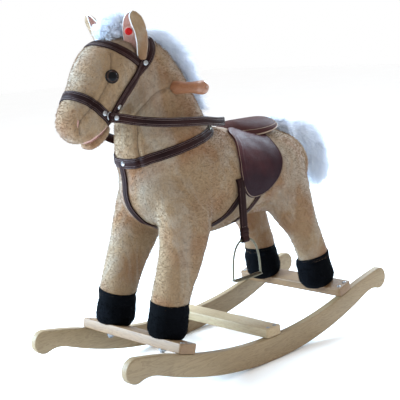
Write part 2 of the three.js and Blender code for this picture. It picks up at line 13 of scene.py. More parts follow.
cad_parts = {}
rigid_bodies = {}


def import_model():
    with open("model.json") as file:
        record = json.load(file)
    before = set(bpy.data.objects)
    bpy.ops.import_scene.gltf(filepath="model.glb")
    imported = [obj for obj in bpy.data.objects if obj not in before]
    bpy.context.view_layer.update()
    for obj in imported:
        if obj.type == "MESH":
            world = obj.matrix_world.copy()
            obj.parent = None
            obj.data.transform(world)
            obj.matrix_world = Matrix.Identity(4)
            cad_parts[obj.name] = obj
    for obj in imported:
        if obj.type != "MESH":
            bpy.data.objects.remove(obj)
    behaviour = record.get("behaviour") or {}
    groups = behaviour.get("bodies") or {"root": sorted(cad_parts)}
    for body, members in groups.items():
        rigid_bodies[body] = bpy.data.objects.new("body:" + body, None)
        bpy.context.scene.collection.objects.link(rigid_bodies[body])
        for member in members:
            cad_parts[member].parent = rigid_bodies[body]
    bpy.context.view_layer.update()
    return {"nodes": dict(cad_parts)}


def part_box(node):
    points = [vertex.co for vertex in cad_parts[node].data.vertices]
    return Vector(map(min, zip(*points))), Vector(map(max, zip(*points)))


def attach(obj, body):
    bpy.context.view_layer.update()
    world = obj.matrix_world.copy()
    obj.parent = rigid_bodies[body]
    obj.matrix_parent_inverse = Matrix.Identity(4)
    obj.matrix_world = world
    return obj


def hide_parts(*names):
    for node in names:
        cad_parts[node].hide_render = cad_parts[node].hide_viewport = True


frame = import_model()
NODE = frame["nodes"]
rng = np.random.default_rng(7)
MM = 0.001
MIRROR = np.array([1, -1, 1])  # from the horse's left to its right

# ---- camera, light and floor ---------------------------------------------------------------

camera = bpy.data.objects.new("camera", bpy.data.cameras.new("camera"))
bpy.context.scene.collection.objects.link(camera)
camera.data.lens = 86.29
camera.data.sensor_width = 36
eye_point = (1.29188, 1.33121, 0.63629)
right = (-0.71682, 0.69348, -0.07251)
up = (-0.17465, -0.07789, 0.98155)
back = (0.67504, 0.71625, 0.17695)
camera.matrix_world = Matrix(
    [(right[i], up[i], back[i], eye_point[i]) for i in range(3)] + [(0, 0, 0, 1)]
)
bpy.context.scene.camera = camera
bpy.context.scene.view_settings.view_transform = "Standard"


def srgb(r, g, b):
    """A colour as 0 to 255 values, in the linear space that shaders use."""
    return tuple((c / 255 / 12.92) if c < 11 else ((c / 255 + 0.055) / 1.055) ** 2.4 for c in (r, g, b))


world = bpy.data.worlds.new("studio")
bpy.context.scene.world = world
world.use_nodes = True
world.node_tree.nodes["Background"].inputs["Color"].default_value = (1, 1, 1, 1)
world.node_tree.nodes["Background"].inputs["Strength"].default_value = 1.0


def area_light(name, place, aim, size, power, colour=(1, 1, 1)):
    light = bpy.data.objects.new(name, bpy.data.lights.new(name, "AREA"))
    light.data.size, light.data.energy, light.data.color = size, power, colour
    light.location = place
    light.rotation_mode = "QUATERNION"
    light.rotation_quaternion = (Vector(aim) - Vector(place)).to_track_quat("-Z", "Y")
    bpy.context.scene.collection.objects.link(light)


area_light("left_edge", (1.75, -1.85, 1.15), (0.1, 0, 0.4), 1.0, 270, (0.52, 0.76, 1.0))
area_light("right_edge", (-2.1, -0.5, 1.5), (-0.2, 0, 0.35), 1.0, 110, (0.66, 0.84, 1.0))
area_light("top_edge", (-0.2, -0.9, 2.4), (0, 0, 0.45), 1.0, 30, (0.86, 0.94, 1.0))


# ---- materials -------------------------------------------------------------------------------


class Look:
    """A node material being built: texture coordinates are the piece's own, in metres."""

    def __init__(self, name, roughness, metallic=0.0):
        self.data = bpy.data.materials.new(name)
        self.data.use_nodes = True
        self.tree = self.data.node_tree
        self.shader = self.tree.nodes["Principled BSDF"]
        self.shader.inputs["Roughness"].default_value = roughness
        self.shader.inputs["Metallic"].default_value = metallic
        self.coords = self.tree.nodes.new("ShaderNodeTexCoord").outputs["Object"]

    def node(self, kind, props=None, **inputs):
        made = self.tree.nodes.new("ShaderNode" + kind)
        for key, value in (props or {}).items():
            setattr(made, key, value)
        for key, value in inputs.items():
            socket = made.inputs[int(key[1:])] if key[0] == "_" else made.inputs[key]
            self.feed(socket, value)
        return made

    def feed(self, socket, value):
        if isinstance(value, bpy.types.NodeSocket):
            self.tree.links.new(value, socket)
        elif isinstance(value, tuple) and len(value) == 3 and socket.type == "RGBA":
            socket.default_value = (*value, 1)
        else:
            socket.default_value = value

    def set(self, key, value):
        self.feed(self.shader.inputs[key], value)

    def stretched(self, x, y, z):
        return self.node("Mapping", Vector=self.coords, Scale=(x, y, z)).outputs["Vector"]

    def noise(self, scale, detail=3.0, rough=0.55, coords=None, distortion=0.0):
        made = self.node(
            "TexNoise",
            Vector=coords or self.coords,
            Scale=scale,
            Detail=detail,
            Roughness=rough,
            Distortion=distortion,
        )
        return made.outputs["Fac"]

    def voronoi(self, scale, coords=None):
        return self.node("TexVoronoi", Vector=coords or self.coords, Scale=scale).outputs["Distance"]

    def ramp(self, factor, *stops):
        made = self.node("ValToRGB", Fac=factor)
        ends = made.color_ramp.elements
        while len(ends) < len(stops):
            ends.new(0.5)
        for end, (place, colour) in zip(ends, stops):
            end.position = place
            end.color = (*colour, 1) if isinstance(colour, tuple) else (colour,) * 3 + (1,)
        return made.outputs["Color"]

    def mix(self, factor, a, b, mode="MIX"):
        made = self.node("Mix", {"data_type": "RGBA", "blend_type": mode}, _0=factor, _6=a, _7=b)
        return made.outputs[2]

    def maths(self, operation, a, b=0.0):
        return self.node("Math", {"operation": operation}, _0=a, _1=b).outputs["Value"]

    def bump(self, height, depth, strength=1.0, normal=None):
        made = self.node("Bump", Height=height, Distance=depth, Strength=strength)
        if normal is not None:
            self.feed(made.inputs["Normal"], normal)
        self.set("Normal", made.outputs["Normal"])
        return made.outputs["Normal"]


def plush_look(name, base, warm, pale, sheen=0.35, fine=420, gloss=0.15):
    look = Look(name, 0.92)
    look.set("Specular IOR Level", gloss)
    patches = look.ramp(look.noise(7, 3, 0.6, distortion=0.4), (0.42, 0.0), (0.62, 1.0))
    colour = look.mix(look.maths("MULTIPLY", patches, 0.9), base, warm)
    brushed = look.ramp(look.noise(19, 5, 0.62, look.stretched(1, 1, 0.5), 0.5), (0.46, 0.0), (0.72, 1.0))
    colour = look.mix(look.maths("MULTIPLY", brushed, 0.5), colour, pale)
    speckle = look.ramp(look.noise(fine, 3, 0.7), (0.3, 0.80), (0.7, 1.12))
    look.set("Base Color", look.mix(1.0, colour, speckle, "MULTIPLY"))
    look.bump(look.noise(fine * 1.4, 4, 0.75), 0.0005, 0.4, look.bump(look.noise(60, 4, 0.6), 0.0016, 0.35))
    look.set("Sheen Weight", sheen)
    look.set("Sheen Roughness", 0.45)
    look.set("Sheen Tint", (0.84, 0.93, 1.0))
    return look.data


def leather_look(name, deep, mid, rough=0.5, shade_below=False):
    look = Look(name, rough)
    cloud = look.noise(18, 4, 0.6)
    colour = look.mix(look.ramp(cloud, (0.35, 0.0), (0.68, 1.0)), deep, mid)
    # Painted shade: the colour darkens to a dark maroon towards the bottom, below about 0.335 m, with a cloudy edge up
    # to 0.425 m.
    if shade_below:
        height = look.node("SeparateXYZ", Vector=look.coords).outputs["Z"]
        fade = look.node(
            "MapRange", Value=height, _1=0.335, _2=0.425, _3=0.0, _4=1.0
        ).outputs["Result"]
        low_shade = look.maths("ADD", fade, look.maths("MULTIPLY", look.maths("SUBTRACT", cloud, 0.5), 0.9))
        colour = look.mix(look.ramp(low_shade, (0.1, 0.0), (0.9, 1.0)), srgb(36, 22, 27), colour)
    grain = look.voronoi(620)
    colour = look.mix(look.ramp(grain, (0.0, 0.35), (0.5, 0.0)), colour, deep)
    look.set("Base Color", colour)
    scuffed = look.noise(45, 5, 0.7)
    look.set("Roughness", look.node("MapRange", Value=scuffed, _3=rough - 0.12, _4=rough + 0.16).outputs["Result"])
    look.bump(grain, 0.00035, 0.8, look.bump(look.noise(120, 4), 0.0006, 0.4))
    look.set("Specular IOR Level", 0.05)
    return look.data


def wood_look(name, pale, dark, rough=0.42, axis="X", coat=0.0):
    look = Look(name, rough)
    scale = {"X": (1.1, 9, 9), "Y": (9, 1.1, 9)}[axis]
    flow = look.noise(6, 4, 0.6, look.stretched(*scale), 1.4)
    rings = look.maths("FRACT", look.maths("MULTIPLY", flow, 9.0))
    lines = look.ramp(rings, (0.0, 0.15), (0.35, 0.75), (0.86, 1.0), (1.0, 0.2))
    colour = look.mix(lines, dark, pale)
    fibre = look.noise(60, 5, 0.7, look.stretched(*(c * c / 3 for c in scale)))
    colour = look.mix(look.ramp(fibre, (0.3, 0.45), (0.62, 0.0)), colour, dark)
    tone = look.noise(5, 2)
    colour = look.mix(1.0, colour, look.ramp(tone, (0.3, 0.88), (0.7, 1.08)), "MULTIPLY")
    look.set("Base Color", colour)
    look.set("Roughness", look.node("MapRange", Value=fibre, _3=rough - 0.06, _4=rough + 0.16).outputs["Result"])
    look.bump(fibre, 0.0003, 0.6, look.bump(lines, 0.0002, 0.4))
    look.set("Coat Weight", coat)
    look.set("Coat Roughness", 0.18)
    return look.data


def metal_look(name, colour, rough):
    look = Look(name, rough, 1.0)
    smear = look.noise(90, 5, 0.65)
    look.set("Base Color", look.mix(look.ramp(smear, (0.35, 0.0), (0.7, 1.0)), colour, tuple(c * 0.62 for c in colour)))
    look.set("Roughness", look.node("MapRange", Value=smear, _3=rough - 0.08, _4=rough + 0.14).outputs["Result"])
    look.bump(look.noise(700, 3, 0.6, look.stretched(1, 1, 0.2)), 0.00008, 0.5)
    return look.data


def thread_look(name, colour):
    look = Look(name, 0.75)
    twist = look.noise(900, 2)
    look.set("Base Color", look.mix(look.ramp(twist, (0.35, 0.0), (0.7, 1.0)), colour, tuple(c * 0.6 for c in colour)))
    look.bump(twist, 0.0002, 0.8)
    look.set("Sheen Weight", 0.2)
    return look.data


def hair_look(name, colour, shade):
    look = Look(name, 0.6)
    streak = look.noise(140, 4, 0.6, look.stretched(1, 1, 0.35))
    tone = look.mix(look.ramp(streak, (0.3, 0.0), (0.7, 1.0)), shade, colour)
    look.set("Base Color", tone)
    look.set("Roughness", look.node("MapRange", Value=streak, _3=0.5, _4=0.75).outputs["Result"])
    look.bump(streak, 0.0003, 0.4)
    look.set("Sheen Weight", 0.3)
    look.set("Subsurface Weight", 0.15)
    look.set("Subsurface Radius", (0.01, 0.01, 0.01))
    return look.data


def gloss_look(name, colour, edge, scale=300):
    look = Look(name, 0.08)
    flecks = look.noise(scale, 3, 0.6)
    look.set("Base Color", look.mix(look.ramp(flecks, (0.4, 0.0), (0.7, 1.0)), colour, edge))
    look.set("Roughness", look.node("MapRange", Value=flecks, _3=0.05, _4=0.13).outputs["Result"])
    look.set("Specular IOR Level", 0.12)
    look.bump(flecks, 0.00002, 0.3)
    return look.data


PLUSH = plush_look("plush", srgb(135, 111, 84), srgb(122, 85, 56), srgb(160, 155, 144), 0.22)
PINK = plush_look("pink_lining", srgb(172, 132, 120), srgb(178, 136, 124), srgb(190, 156, 146), 0.12, 600)
WHITE_EDGE = plush_look("ear_edge", srgb(214, 214, 214), srgb(200, 198, 194), srgb(226, 228, 232), 0.2, 600)
BLACK = plush_look("hoof_plush", srgb(8, 9, 12), srgb(5, 6, 8), srgb(17, 20, 26), 0.0, 500, 0.03)
RED = plush_look("button_cloth", srgb(168, 24, 22), srgb(146, 16, 16), srgb(184, 44, 40), 0.05, 900)
STRAP = leather_look("strap_leather", srgb(26, 12, 12), srgb(43, 23, 21), 0.56)
# The saddle flaps' leather carries painted shade, darker towards their bottom.
SADDLE = leather_look("saddle_leather", srgb(62, 31, 33), srgb(76, 42, 43), 0.5, shade_below=True)
SEAT = leather_look("seat_leather", srgb(56, 30, 29), srgb(70, 42, 39), 0.62)
PALE_WOOD = wood_look("pale_wood", srgb(137, 117, 86), srgb(113, 91, 63), 0.55)
SLAT_WOOD = wood_look("slat_wood", srgb(160, 140, 108), srgb(134, 110, 78), 0.55, "Y")
PINE = wood_look("pine", srgb(128, 99, 66), srgb(98, 69, 44), 0.5, "Y")
TURNED = wood_look("turned_wood", srgb(148, 100, 70), srgb(112, 68, 44), 0.35, "Y", 0.25)
ZINC = metal_look("zinc_steel", (0.30, 0.30, 0.31), 0.35)
NICKEL = metal_look("stirrup_metal", (0.17, 0.155, 0.11), 0.34)
RIVET = metal_look("rivet_metal", (0.46, 0.47, 0.48), 0.26)
DARK = gloss_look("eye_rim", srgb(12, 9, 9), srgb(20, 14, 12))
IRIS = gloss_look("eye_iris", srgb(30, 18, 14), srgb(52, 32, 22), 700)
PUPIL = gloss_look("eye_pupil", srgb(3, 3, 4), srgb(6, 6, 8))
CREAM = thread_look("cream_thread", srgb(150, 124, 100))
BROWN = thread_look("brown_thread", srgb(88, 62, 55))
TAN = thread_look("seam_thread", srgb(118, 92, 68))
HAIR = hair_look("white_hair", srgb(240, 246, 255), srgb(222, 230, 246))
CASE = gloss_look("case_plastic", srgb(40, 40, 42), srgb(60, 60, 62))


# ---- mesh helpers ----------------------------------------------------------------------------


def build(name, verts, faces, material, smooth=True):
    """A mesh piece from vertices and lists of faces; each list holds faces of one size."""
    groups = [np.asarray(g, np.int32) for g in (faces if isinstance(faces, list) else [faces]) if len(g)]
    mesh = bpy.data.meshes.new(name)
    mesh.vertices.add(len(verts))
    mesh.vertices.foreach_set("co", np.asarray(verts, np.float32).ravel())
    sizes = np.concatenate([np.full(len(g), g.shape[1]) for g in groups])
    mesh.loops.add(int(sizes.sum()))
    mesh.loops.foreach_set("vertex_index", np.concatenate([g.ravel() for g in groups]))
    mesh.polygons.add(len(sizes))
    mesh.polygons.foreach_set("loop_start", np.concatenate([[0], np.cumsum(sizes)[:-1]]))
    mesh.polygons.foreach_set("use_smooth", np.full(len(sizes), smooth))
    mesh.update(calc_edges=True)
    mesh.validate()
    piece = bpy.data.objects.new(name, mesh)
    bpy.context.scene.collection.objects.link(piece)
    for one in material if isinstance(material, list) else [material]:
        mesh.materials.append(one)
    return piece


def place(piece, body, slot, *nodes):
    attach(piece, body)
    if nodes:
        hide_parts(*nodes)
    return piece


def arrays(mesh):
    verts = np.zeros(len(mesh.vertices) * 3)
    mesh.vertices.foreach_get("co", verts)
    return verts.reshape(-1, 3)


def moved(mesh, co):
    """Puts a mesh's vertices at new places."""
    mesh.vertices.foreach_set("co", co.astype(np.float32).ravel())
    mesh.update()


def triangles(mesh):
    mesh.calc_loop_triangles()
    tris = np.zeros(len(mesh.loop_triangles) * 3, np.int32)
    mesh.loop_triangles.foreach_get("vertices", tris)
    return tris.reshape(-1, 3)


def normals_of(mesh):
    out = np.zeros(len(mesh.vertices) * 3)
    mesh.vertex_normals.foreach_get("vector", out)
    return out.reshape(-1, 3)


def tree_of(*pieces):
    """One search tree over the meshes of several pieces."""
    verts, tris, start = [], [], 0
    for piece in pieces:
        v = arrays(piece.data)
        tris.append(triangles(piece.data) + start)
        verts.append(v)
        start += len(v)
    return BVHTree.FromPolygons(np.vstack(verts).tolist(), np.vstack(tris).tolist())


def modified(piece, kind, **props):
    modifier = piece.modifiers.new(kind.lower(), kind)
    for key, value in props.items():
        setattr(modifier, key, value)
    return modifier


def applied(piece):
    """Bakes a new piece's modifiers into its mesh."""
    graph = bpy.context.evaluated_depsgraph_get()
    mesh = bpy.data.meshes.new_from_object(piece.evaluated_get(graph))
    piece.modifiers.clear()
    piece.data = mesh
    mesh.polygons.foreach_set("use_smooth", [True] * len(mesh.polygons))
    return piece


def relaxed(mesh, times, strength=0.5, only=None):
    """Laplacian smoothing of a mesh in place."""
    co = arrays(mesh)
    edges = np.zeros(len(mesh.edges) * 2, np.int64)
    mesh.edges.foreach_get("vertices", edges)
    a, b = edges.reshape(-1, 2).T
    count = np.bincount(np.r_[a, b], minlength=len(co))[:, None]
    for _ in range(times):
        mean = np.zeros_like(co)
        for axis in range(3):
            mean[:, axis] = np.bincount(a, co[b, axis], len(co)) + np.bincount(b, co[a, axis], len(co))
        step = strength * (mean / np.maximum(count, 1) - co)
        co += step if only is None else step * only[:, None]
    moved(mesh, co)


def middle_of(name):
    """The middle of a CAD node's box."""
    low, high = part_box(name)
    return (np.array(low) + np.array(high)) / 2


def cad_arrays(name):
    mesh = NODE[name].data
    return arrays(mesh), triangles(mesh)


def box_arrays(low, high):
    corners = np.array([[x, y, z] for x in (low[0], high[0]) for y in (low[1], high[1]) for z in (low[2], high[2])])
    faces = [(0, 1, 3, 2), (4, 6, 7, 5), (0, 4, 5, 1), (2, 3, 7, 6), (0, 2, 6, 4), (1, 5, 7, 3)]
    return corners, np.array([t for f in faces for t in ((f[0], f[1], f[2]), (f[0], f[2], f[3]))])


def stuffed(name, parts, voxel, rounds, swell, material):
    """One soft skin round several closed meshes: voxel remesh, smoothing, then a slight swell."""
    verts, tris, start = [], [], 0
    for v, t in parts:
        verts.append(v)
        tris.append(t + start)
        start += len(v)
    piece = build(name, np.vstack(verts), np.vstack(tris), material)
    modified(piece, "REMESH", mode="VOXEL", voxel_size=voxel)
    applied(piece)
    relaxed(piece.data, rounds)
    co = arrays(piece.data) + normals_of(piece.data) * swell
    moved(piece.data, co)
    return piece


def catmull(points, count):
    """Evenly parameterised smooth line through the points."""
    p = np.asarray(points, float)
    p = np.vstack([2 * p[0] - p[1], p, 2 * p[-1] - p[-2]])
    t = np.linspace(0, len(p) - 3 - 1e-9, count)
    i = t.astype(int)
    f = (t - i)[:, None]
    a, b, c, d = p[i], p[i + 1], p[i + 2], p[i + 3]
    return 0.5 * (2 * b + (c - a) * f + (2 * a - 5 * b + 4 * c - d) * f**2 + (3 * b - a - 3 * c + d) * f**3)


def resampled(path, step):
    path = np.asarray(path, float)
    gaps = np.linalg.norm(np.diff(path, axis=0), axis=1)
    along = np.r_[0, np.cumsum(gaps)]
    count = max(2, int(round(along[-1] / step)) + 1)
    target = np.linspace(0, along[-1], count)
    return np.stack([np.interp(target, along, path[:, k]) for k in range(path.shape[1])], 1)


def evened(values, rounds):
    """Smooths rows along a line, its ends kept."""
    v = np.array(values, float)
    for _ in range(rounds):
        v[1:-1] = 0.25 * v[:-2] + 0.5 * v[1:-1] + 0.25 * v[2:]
    return v


def unit(v):
    return v / np.maximum(np.linalg.norm(v, axis=-1, keepdims=True), 1e-12)


def swept(rings, closed=False, caps=True):
    """Faces over a stack of equal rings of points: (n, k, 3) gives vertices and faces."""
    n, k = rings.shape[:2]
    i, j = np.meshgrid(np.arange(n if closed else n - 1), np.arange(k), indexing="ij")
    i2, j2 = (i + 1) % n, (j + 1) % k
    quads = np.stack([i * k + j, i * k + j2, i2 * k + j2, i2 * k + j], -1).reshape(-1, 4)
    verts = rings.reshape(-1, 3)
    if closed or not caps:
        return verts, [quads]
    verts = np.vstack([verts, rings[0].mean(0), rings[-1].mean(0)])
    j = np.arange(k)
    j2 = (j + 1) % k
    base = n * k
    ends = np.vstack([
        np.stack([np.full(k, base), j2, j], 1),
        np.stack([np.full(k, base + 1), (n - 1) * k + j, (n - 1) * k + j2], 1),
    ])
    return verts, [quads, ends]


def merged(items):
    """Vertices and face groups of many parts put together."""
    verts, groups, start = [], {}, 0
    for v, faces in items:
        verts.append(v)
        for g in faces if isinstance(faces, list) else [faces]:
            groups.setdefault(g.shape[1], []).append(g + start)
        start += len(v)
    return np.vstack(verts), [np.vstack(g) for g in groups.values()]


def tube(path, radius, sides=10, closed=False):
    """A round tube along a path; the radius may vary along it."""
    path = np.asarray(path, float)
    radius = np.broadcast_to(radius, len(path))
    if closed:
        tangent = unit(np.roll(path, -1, 0) - np.roll(path, 1, 0))
    else:
        tangent = unit(np.gradient(path, axis=0))
    side = np.cross(tangent[0], (0, 0, 1) if abs(tangent[0][2]) < 0.9 else (1, 0, 0))
    rings = []
    for p, t, r in zip(path, tangent, radius):
        side = unit(side - t * (side @ t))
        other = np.cross(t, side)
        angle = np.linspace(0, 2 * np.pi, sides, endpoint=False)[:, None]
        rings.append(p + r * (np.cos(angle) * side + np.sin(angle) * other))
    return swept(np.array(rings), closed)


def lathe(profile, centre, axis, sides=24, squash=1.0):
    """A turned form: profile rows are (radius, distance along the axis)."""
    axis = unit(np.asarray(axis, float))
    side = unit(np.cross(axis, (0, 0, 1) if abs(axis[2]) < 0.9 else (1, 0, 0)))
    other = np.cross(axis, side)
    angle = np.linspace(0, 2 * np.pi, sides, endpoint=False)[:, None]
    ring = np.cos(angle) * side + np.sin(angle) * other * squash
    return swept(np.array([np.asarray(centre) + r * ring + h * axis for r, h in profile]))


STITCH = np.array([
    [-0.5, 0, 0], [0.5, 0, 0], [-0.28, -0.5, 0], [0.28, -0.5, 0], [-0.28, 0.5, 0], [0.28, 0.5, 0],
    [-0.2, 0, 1], [0.2, 0, 1], [-0.2, 0, -1], [0.2, 0, -1],
])
STITCH_FACES = np.array([
    (0, 2, 6), (2, 3, 7), (2, 7, 6), (3, 1, 7), (0, 6, 4), (4, 6, 7), (4, 7, 5), (5, 7, 1),
    (0, 8, 2), (2, 8, 9), (2, 9, 3), (3, 9, 1), (0, 4, 8), (4, 9, 8), (4, 5, 9), (5, 1, 9),
])


def stitches(points, along, out, length=0.0026, width=0.0008, height=0.0004):
    """Sewing thread: a small closed stitch at each point."""
    across = np.cross(out, along)
    v = (
        points[:, None]
        + STITCH[None, :, :1] * length * along[:, None]
        + STITCH[None, :, 1:2] * width * across[:, None]
        + STITCH[None, :, 2:] * height * out[:, None]
    )
    shift = (np.arange(len(points)) * len(STITCH))[:, None, None]
    return v.reshape(-1, 3), [(STITCH_FACES[None] + shift).reshape(-1, 3)]


# ---- plush skin ------------------------------------------------------------------------------

SKIN_VOXEL, SKIN_ROUNDS, SKIN_SWELL = 0.0036, 26, 0.0016
SKIN_NODES = ["torso", "head", "front_leg_left", "front_leg_right", "rear_leg_left", "rear_leg_right"]
INNER_NODES = ["front_leg_arch", "rear_leg_arch", "spine_beam", "neck_post", "sound_box"]
HANDLE_AT = middle_of("handle") * np.array([1, 0, 1])
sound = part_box("sound_box")
hatch = box_arrays((sound[0].x + 0.004, -0.027, 0.2475), (sound[1].x - 0.004, 0.027, sound[0].z + 0.004))
core = lathe([(0.0, -0.05), (0.013, -0.05), (0.013, 0.05), (0.0, 0.05)], HANDLE_AT, (0, 1, 0), 16)
core = (core[0], np.vstack([np.vstack([core[1][0][:, :3], core[1][0][:, [0, 2, 3]]]), core[1][1]]))
eye_fill = []
for side in ("left", "right"):
    v, t = cad_arrays("eye_" + side)
    eye_fill.append((v - np.array([0.0015, (0.0035 if side == "left" else -0.0035), 0]), t))
skin = stuffed(
    "plush_skin",
    [cad_arrays(n) for n in SKIN_NODES + INNER_NODES] + [hatch, core] + eye_fill,
    SKIN_VOXEL,
    SKIN_ROUNDS,
    SKIN_SWELL,
    [PLUSH, PINK],
)


def pushed(mesh, amount):
    """Moves every vertex along its normal by its own amount."""
    co = arrays(mesh) + normals_of(mesh) * amount[:, None]
    moved(mesh, co)


def field(points, scale, seed):
    """Smooth noise in about -1 to 1 at each point."""
    shift = Vector((seed * 3.1, seed * 1.7, seed * 2.3))
    return np.array([noise(Vector(p) * scale + shift) for p in points])


# The belly tucks up in front of the hind legs, the breast is fuller, and the right hind leg stands back.
co = arrays(skin.data)
tuck = np.exp(-(((co[:, 0] + 0.064) / 0.042) ** 2)) * np.clip((0.325 - co[:, 2]) / 0.05, 0, 1)
co[:, 2] += 0.012 * tuck
breast_fill = np.exp(-(((co[:, 2] - 0.345) / 0.045) ** 2)) * np.clip((co[:, 0] - 0.14) / 0.05, 0, 1)
co[:, 0] += 0.006 * breast_fill * np.clip(1 - np.abs(co[:, 1]) / 0.09, 0, 1)
rise = np.clip((co[:, 2] - 0.11) / 0.10, 0, 1) * np.clip((0.335 - co[:, 2]) / 0.08, 0, 1)
co[:, 0] -= 0.012 * rise * np.clip((-co[:, 1] - 0.02) / 0.03, 0, 1) * np.clip((-co[:, 0] - 0.07) / 0.04, 0, 1)
moved(skin.data, co)
pushed(skin.data, 0.0011 * field(co, 22, 1) + 0.0006 * field(co, 55, 2))
skin_tree = tree_of(skin)


def on_side(x, z, reach=0.3, tree=None):
    """The left surface seen from the side at (x, z)."""
    hit = (tree or skin_tree).ray_cast(Vector((x, reach, z)), Vector((0, -1, 0)))
    return None if hit[0] is None else np.array(hit[0])


def side_path(line, count=900):
    """Where a side-view line lies on the left of the skin: the longest unbroken run."""
    hits = [on_side(x * MM, z * MM) for x, z in catmull(line, count)]
    path, best = [], []
    for hit in hits:
        broken = hit is None or hit[1] < 0 or (path and np.linalg.norm(hit - path[-1]) > 0.03)
        if broken:
            best = max(best, path, key=len)
            path = [] if hit is None or hit[1] < 0 else [hit]
        else:
            path.append(hit)
    return np.array(max(best, path, key=len))


def both_sides(path):
    """A left-hand path that starts at the middle, carried on over the right side."""
    other = path[::-1] * MIRROR
    return np.vstack([other, path])


# Seams of the sewn panels, each a side-view line on both sides.
SEAMS = {
    "brow": [[259, 604], [263, 592], [267, 579]],
    "cheek": [[276, 556], [286, 541], [296, 528], [306, 522]],
    "nose": [[311, 516], [318, 510], [327, 501], [333, 490], [331, 474]],
    "jaw": [[140, 534], [152, 533], [168, 529], [183, 518], [197, 502], [207, 487]],
    "front": [[204, 478], [208, 448], [208, 425], [207, 402]],
    "rump": [[-160, 432], [-186, 412], [-202, 388], [-206, 366], [-203, 340], [-196, 310]],
}
seam_paths = []
for line in SEAMS.values():
    found = side_path(line, 240)
    if len(found) > 10:
        found = resampled(found, 0.003)
        seam_paths += [found, found * MIRROR]
spine = []
for x in np.linspace(-0.20, 0.03, 60):
    hit = skin_tree.ray_cast(Vector((x, 0, 0.6)), Vector((0, 0, -1)))
    if hit[0] is not None:
        spine.append(np.array(hit[0]))
seam_paths.append(resampled(np.array(spine), 0.003))
seam_points = np.vstack(seam_paths)


def distance_to(points, targets, cap):
    """Distance from each point to the nearest target, capped."""
    tree = KDTree(len(targets))
    for i, p in enumerate(targets):
        tree.insert(p, i)
    tree.balance()
    return np.array([min(tree.find(p)[2], cap) for p in points])


co = arrays(skin.data)
gap = distance_to(co, seam_points, 0.02)
pushed(skin.data, -0.0021 * np.exp(-((gap / 0.0030) ** 2)) + 0.0009 * np.exp(-(((gap - 0.0085) / 0.005) ** 2)))
skin_tree = tree_of(skin)

# The roof of the mouth is lined in pink: skin faces that look down onto the jaw.
co, poly = arrays(skin.data), skin.data.polygons
centres = np.zeros(len(poly) * 3)
poly.foreach_get("center", centres)
centres = centres.reshape(-1, 3)
facing = np.zeros(len(poly) * 3)
poly.foreach_get("normal", facing)
facing = facing.reshape(-1, 3)
mouth_low = (centres[:, 2] - 0.479) + (centres[:, 0] - 0.273) * 0.58
is_mouth = (np.abs(mouth_low) < 0.006) & (centres[:, 0] > 0.262) & (centres[:, 0] < 0.318) & (facing[:, 2] < -0.45)
poly.foreach_set("material_index", is_mouth.astype(np.int32))

place(skin, "horse", "plush", *SKIN_NODES)

jaw_v, jaw_t = cad_arrays("lower_jaw")
jaw = stuffed("jaw", [(jaw_v, jaw_t)], 0.0024, 8, 0.0012, [PLUSH, PINK])
poly = jaw.data.polygons
facing = np.zeros(len(poly) * 3)
poly.foreach_get("normal", facing)
facing = facing.reshape(-1, 3)
poly.foreach_set("material_index", ((facing @ np.array([0.5, 0, 0.86])) > 0.8).astype(np.int32))
place(jaw, "lower_jaw", "plush", "lower_jaw")

# ---- straps ----------------------------------------------------------------------------------

STRAP_PROFILE = np.array([
    [-1.0, 0.1], [-1.0, 0.66], [-0.94, 0.93], [-0.86, 1.0], [-0.80, 0.80], [-0.74, 1.0], [-0.52, 1.05],
    [-0.46, 0.86], [-0.40, 1.05], [0.0, 1.08], [0.40, 1.05], [0.46, 0.86], [0.52, 1.05], [0.74, 1.0],
    [0.80, 0.80], [0.86, 1.0], [0.94, 0.93], [1.0, 0.66], [1.0, 0.1], [0.8, -0.3], [0.0, -0.35], [-0.8, -0.3],
])
strap_parts, strap_threads = [], []


def strap_frames(path, tree, rounds=10):
    """Points, tangents, outward normals and sideways directions along a path on a surface."""
    normal = np.array([np.array(tree.find_nearest(Vector(p))[1]) for p in path])
    normal = unit(evened(normal, rounds))
    tangent = unit(np.gradient(path, axis=0))
    across = unit(np.cross(normal, tangent))
    return tangent, unit(np.cross(tangent, across)), across


def conform(path, width, tree, lift):
    """Raises a stiff cross-section until it clears the surface: rows of (a, b, c) of a s^2 + b s + c."""
    tangent, out, across = strap_frames(path, tree)
    places = np.linspace(-0.5, 0.5, 7)
    rows = []
    for p, n, b in zip(path, out, across):
        heights = []
        for s in places:
            q = p + b * (s * width) + n * 0.02
            hit = tree.ray_cast(Vector(q), Vector(-n), 0.045)
            heights.append(0.02 - hit[3] if hit[0] is not None else np.nan)
        h = np.array(heights)
        good = np.isfinite(h)
        if good.sum() < 4:
            rows.append([0, 0, 0])
            continue
        fit = np.polyfit(places[good], h[good], 2)
        fit[2] += max(0.0, (h[good] - np.polyval(fit, places[good])).max()) * 0.8
        rows.append(fit)
    rows = evened(rows, 6)
    rows[:, 2] += lift
    return tangent, out, across, rows


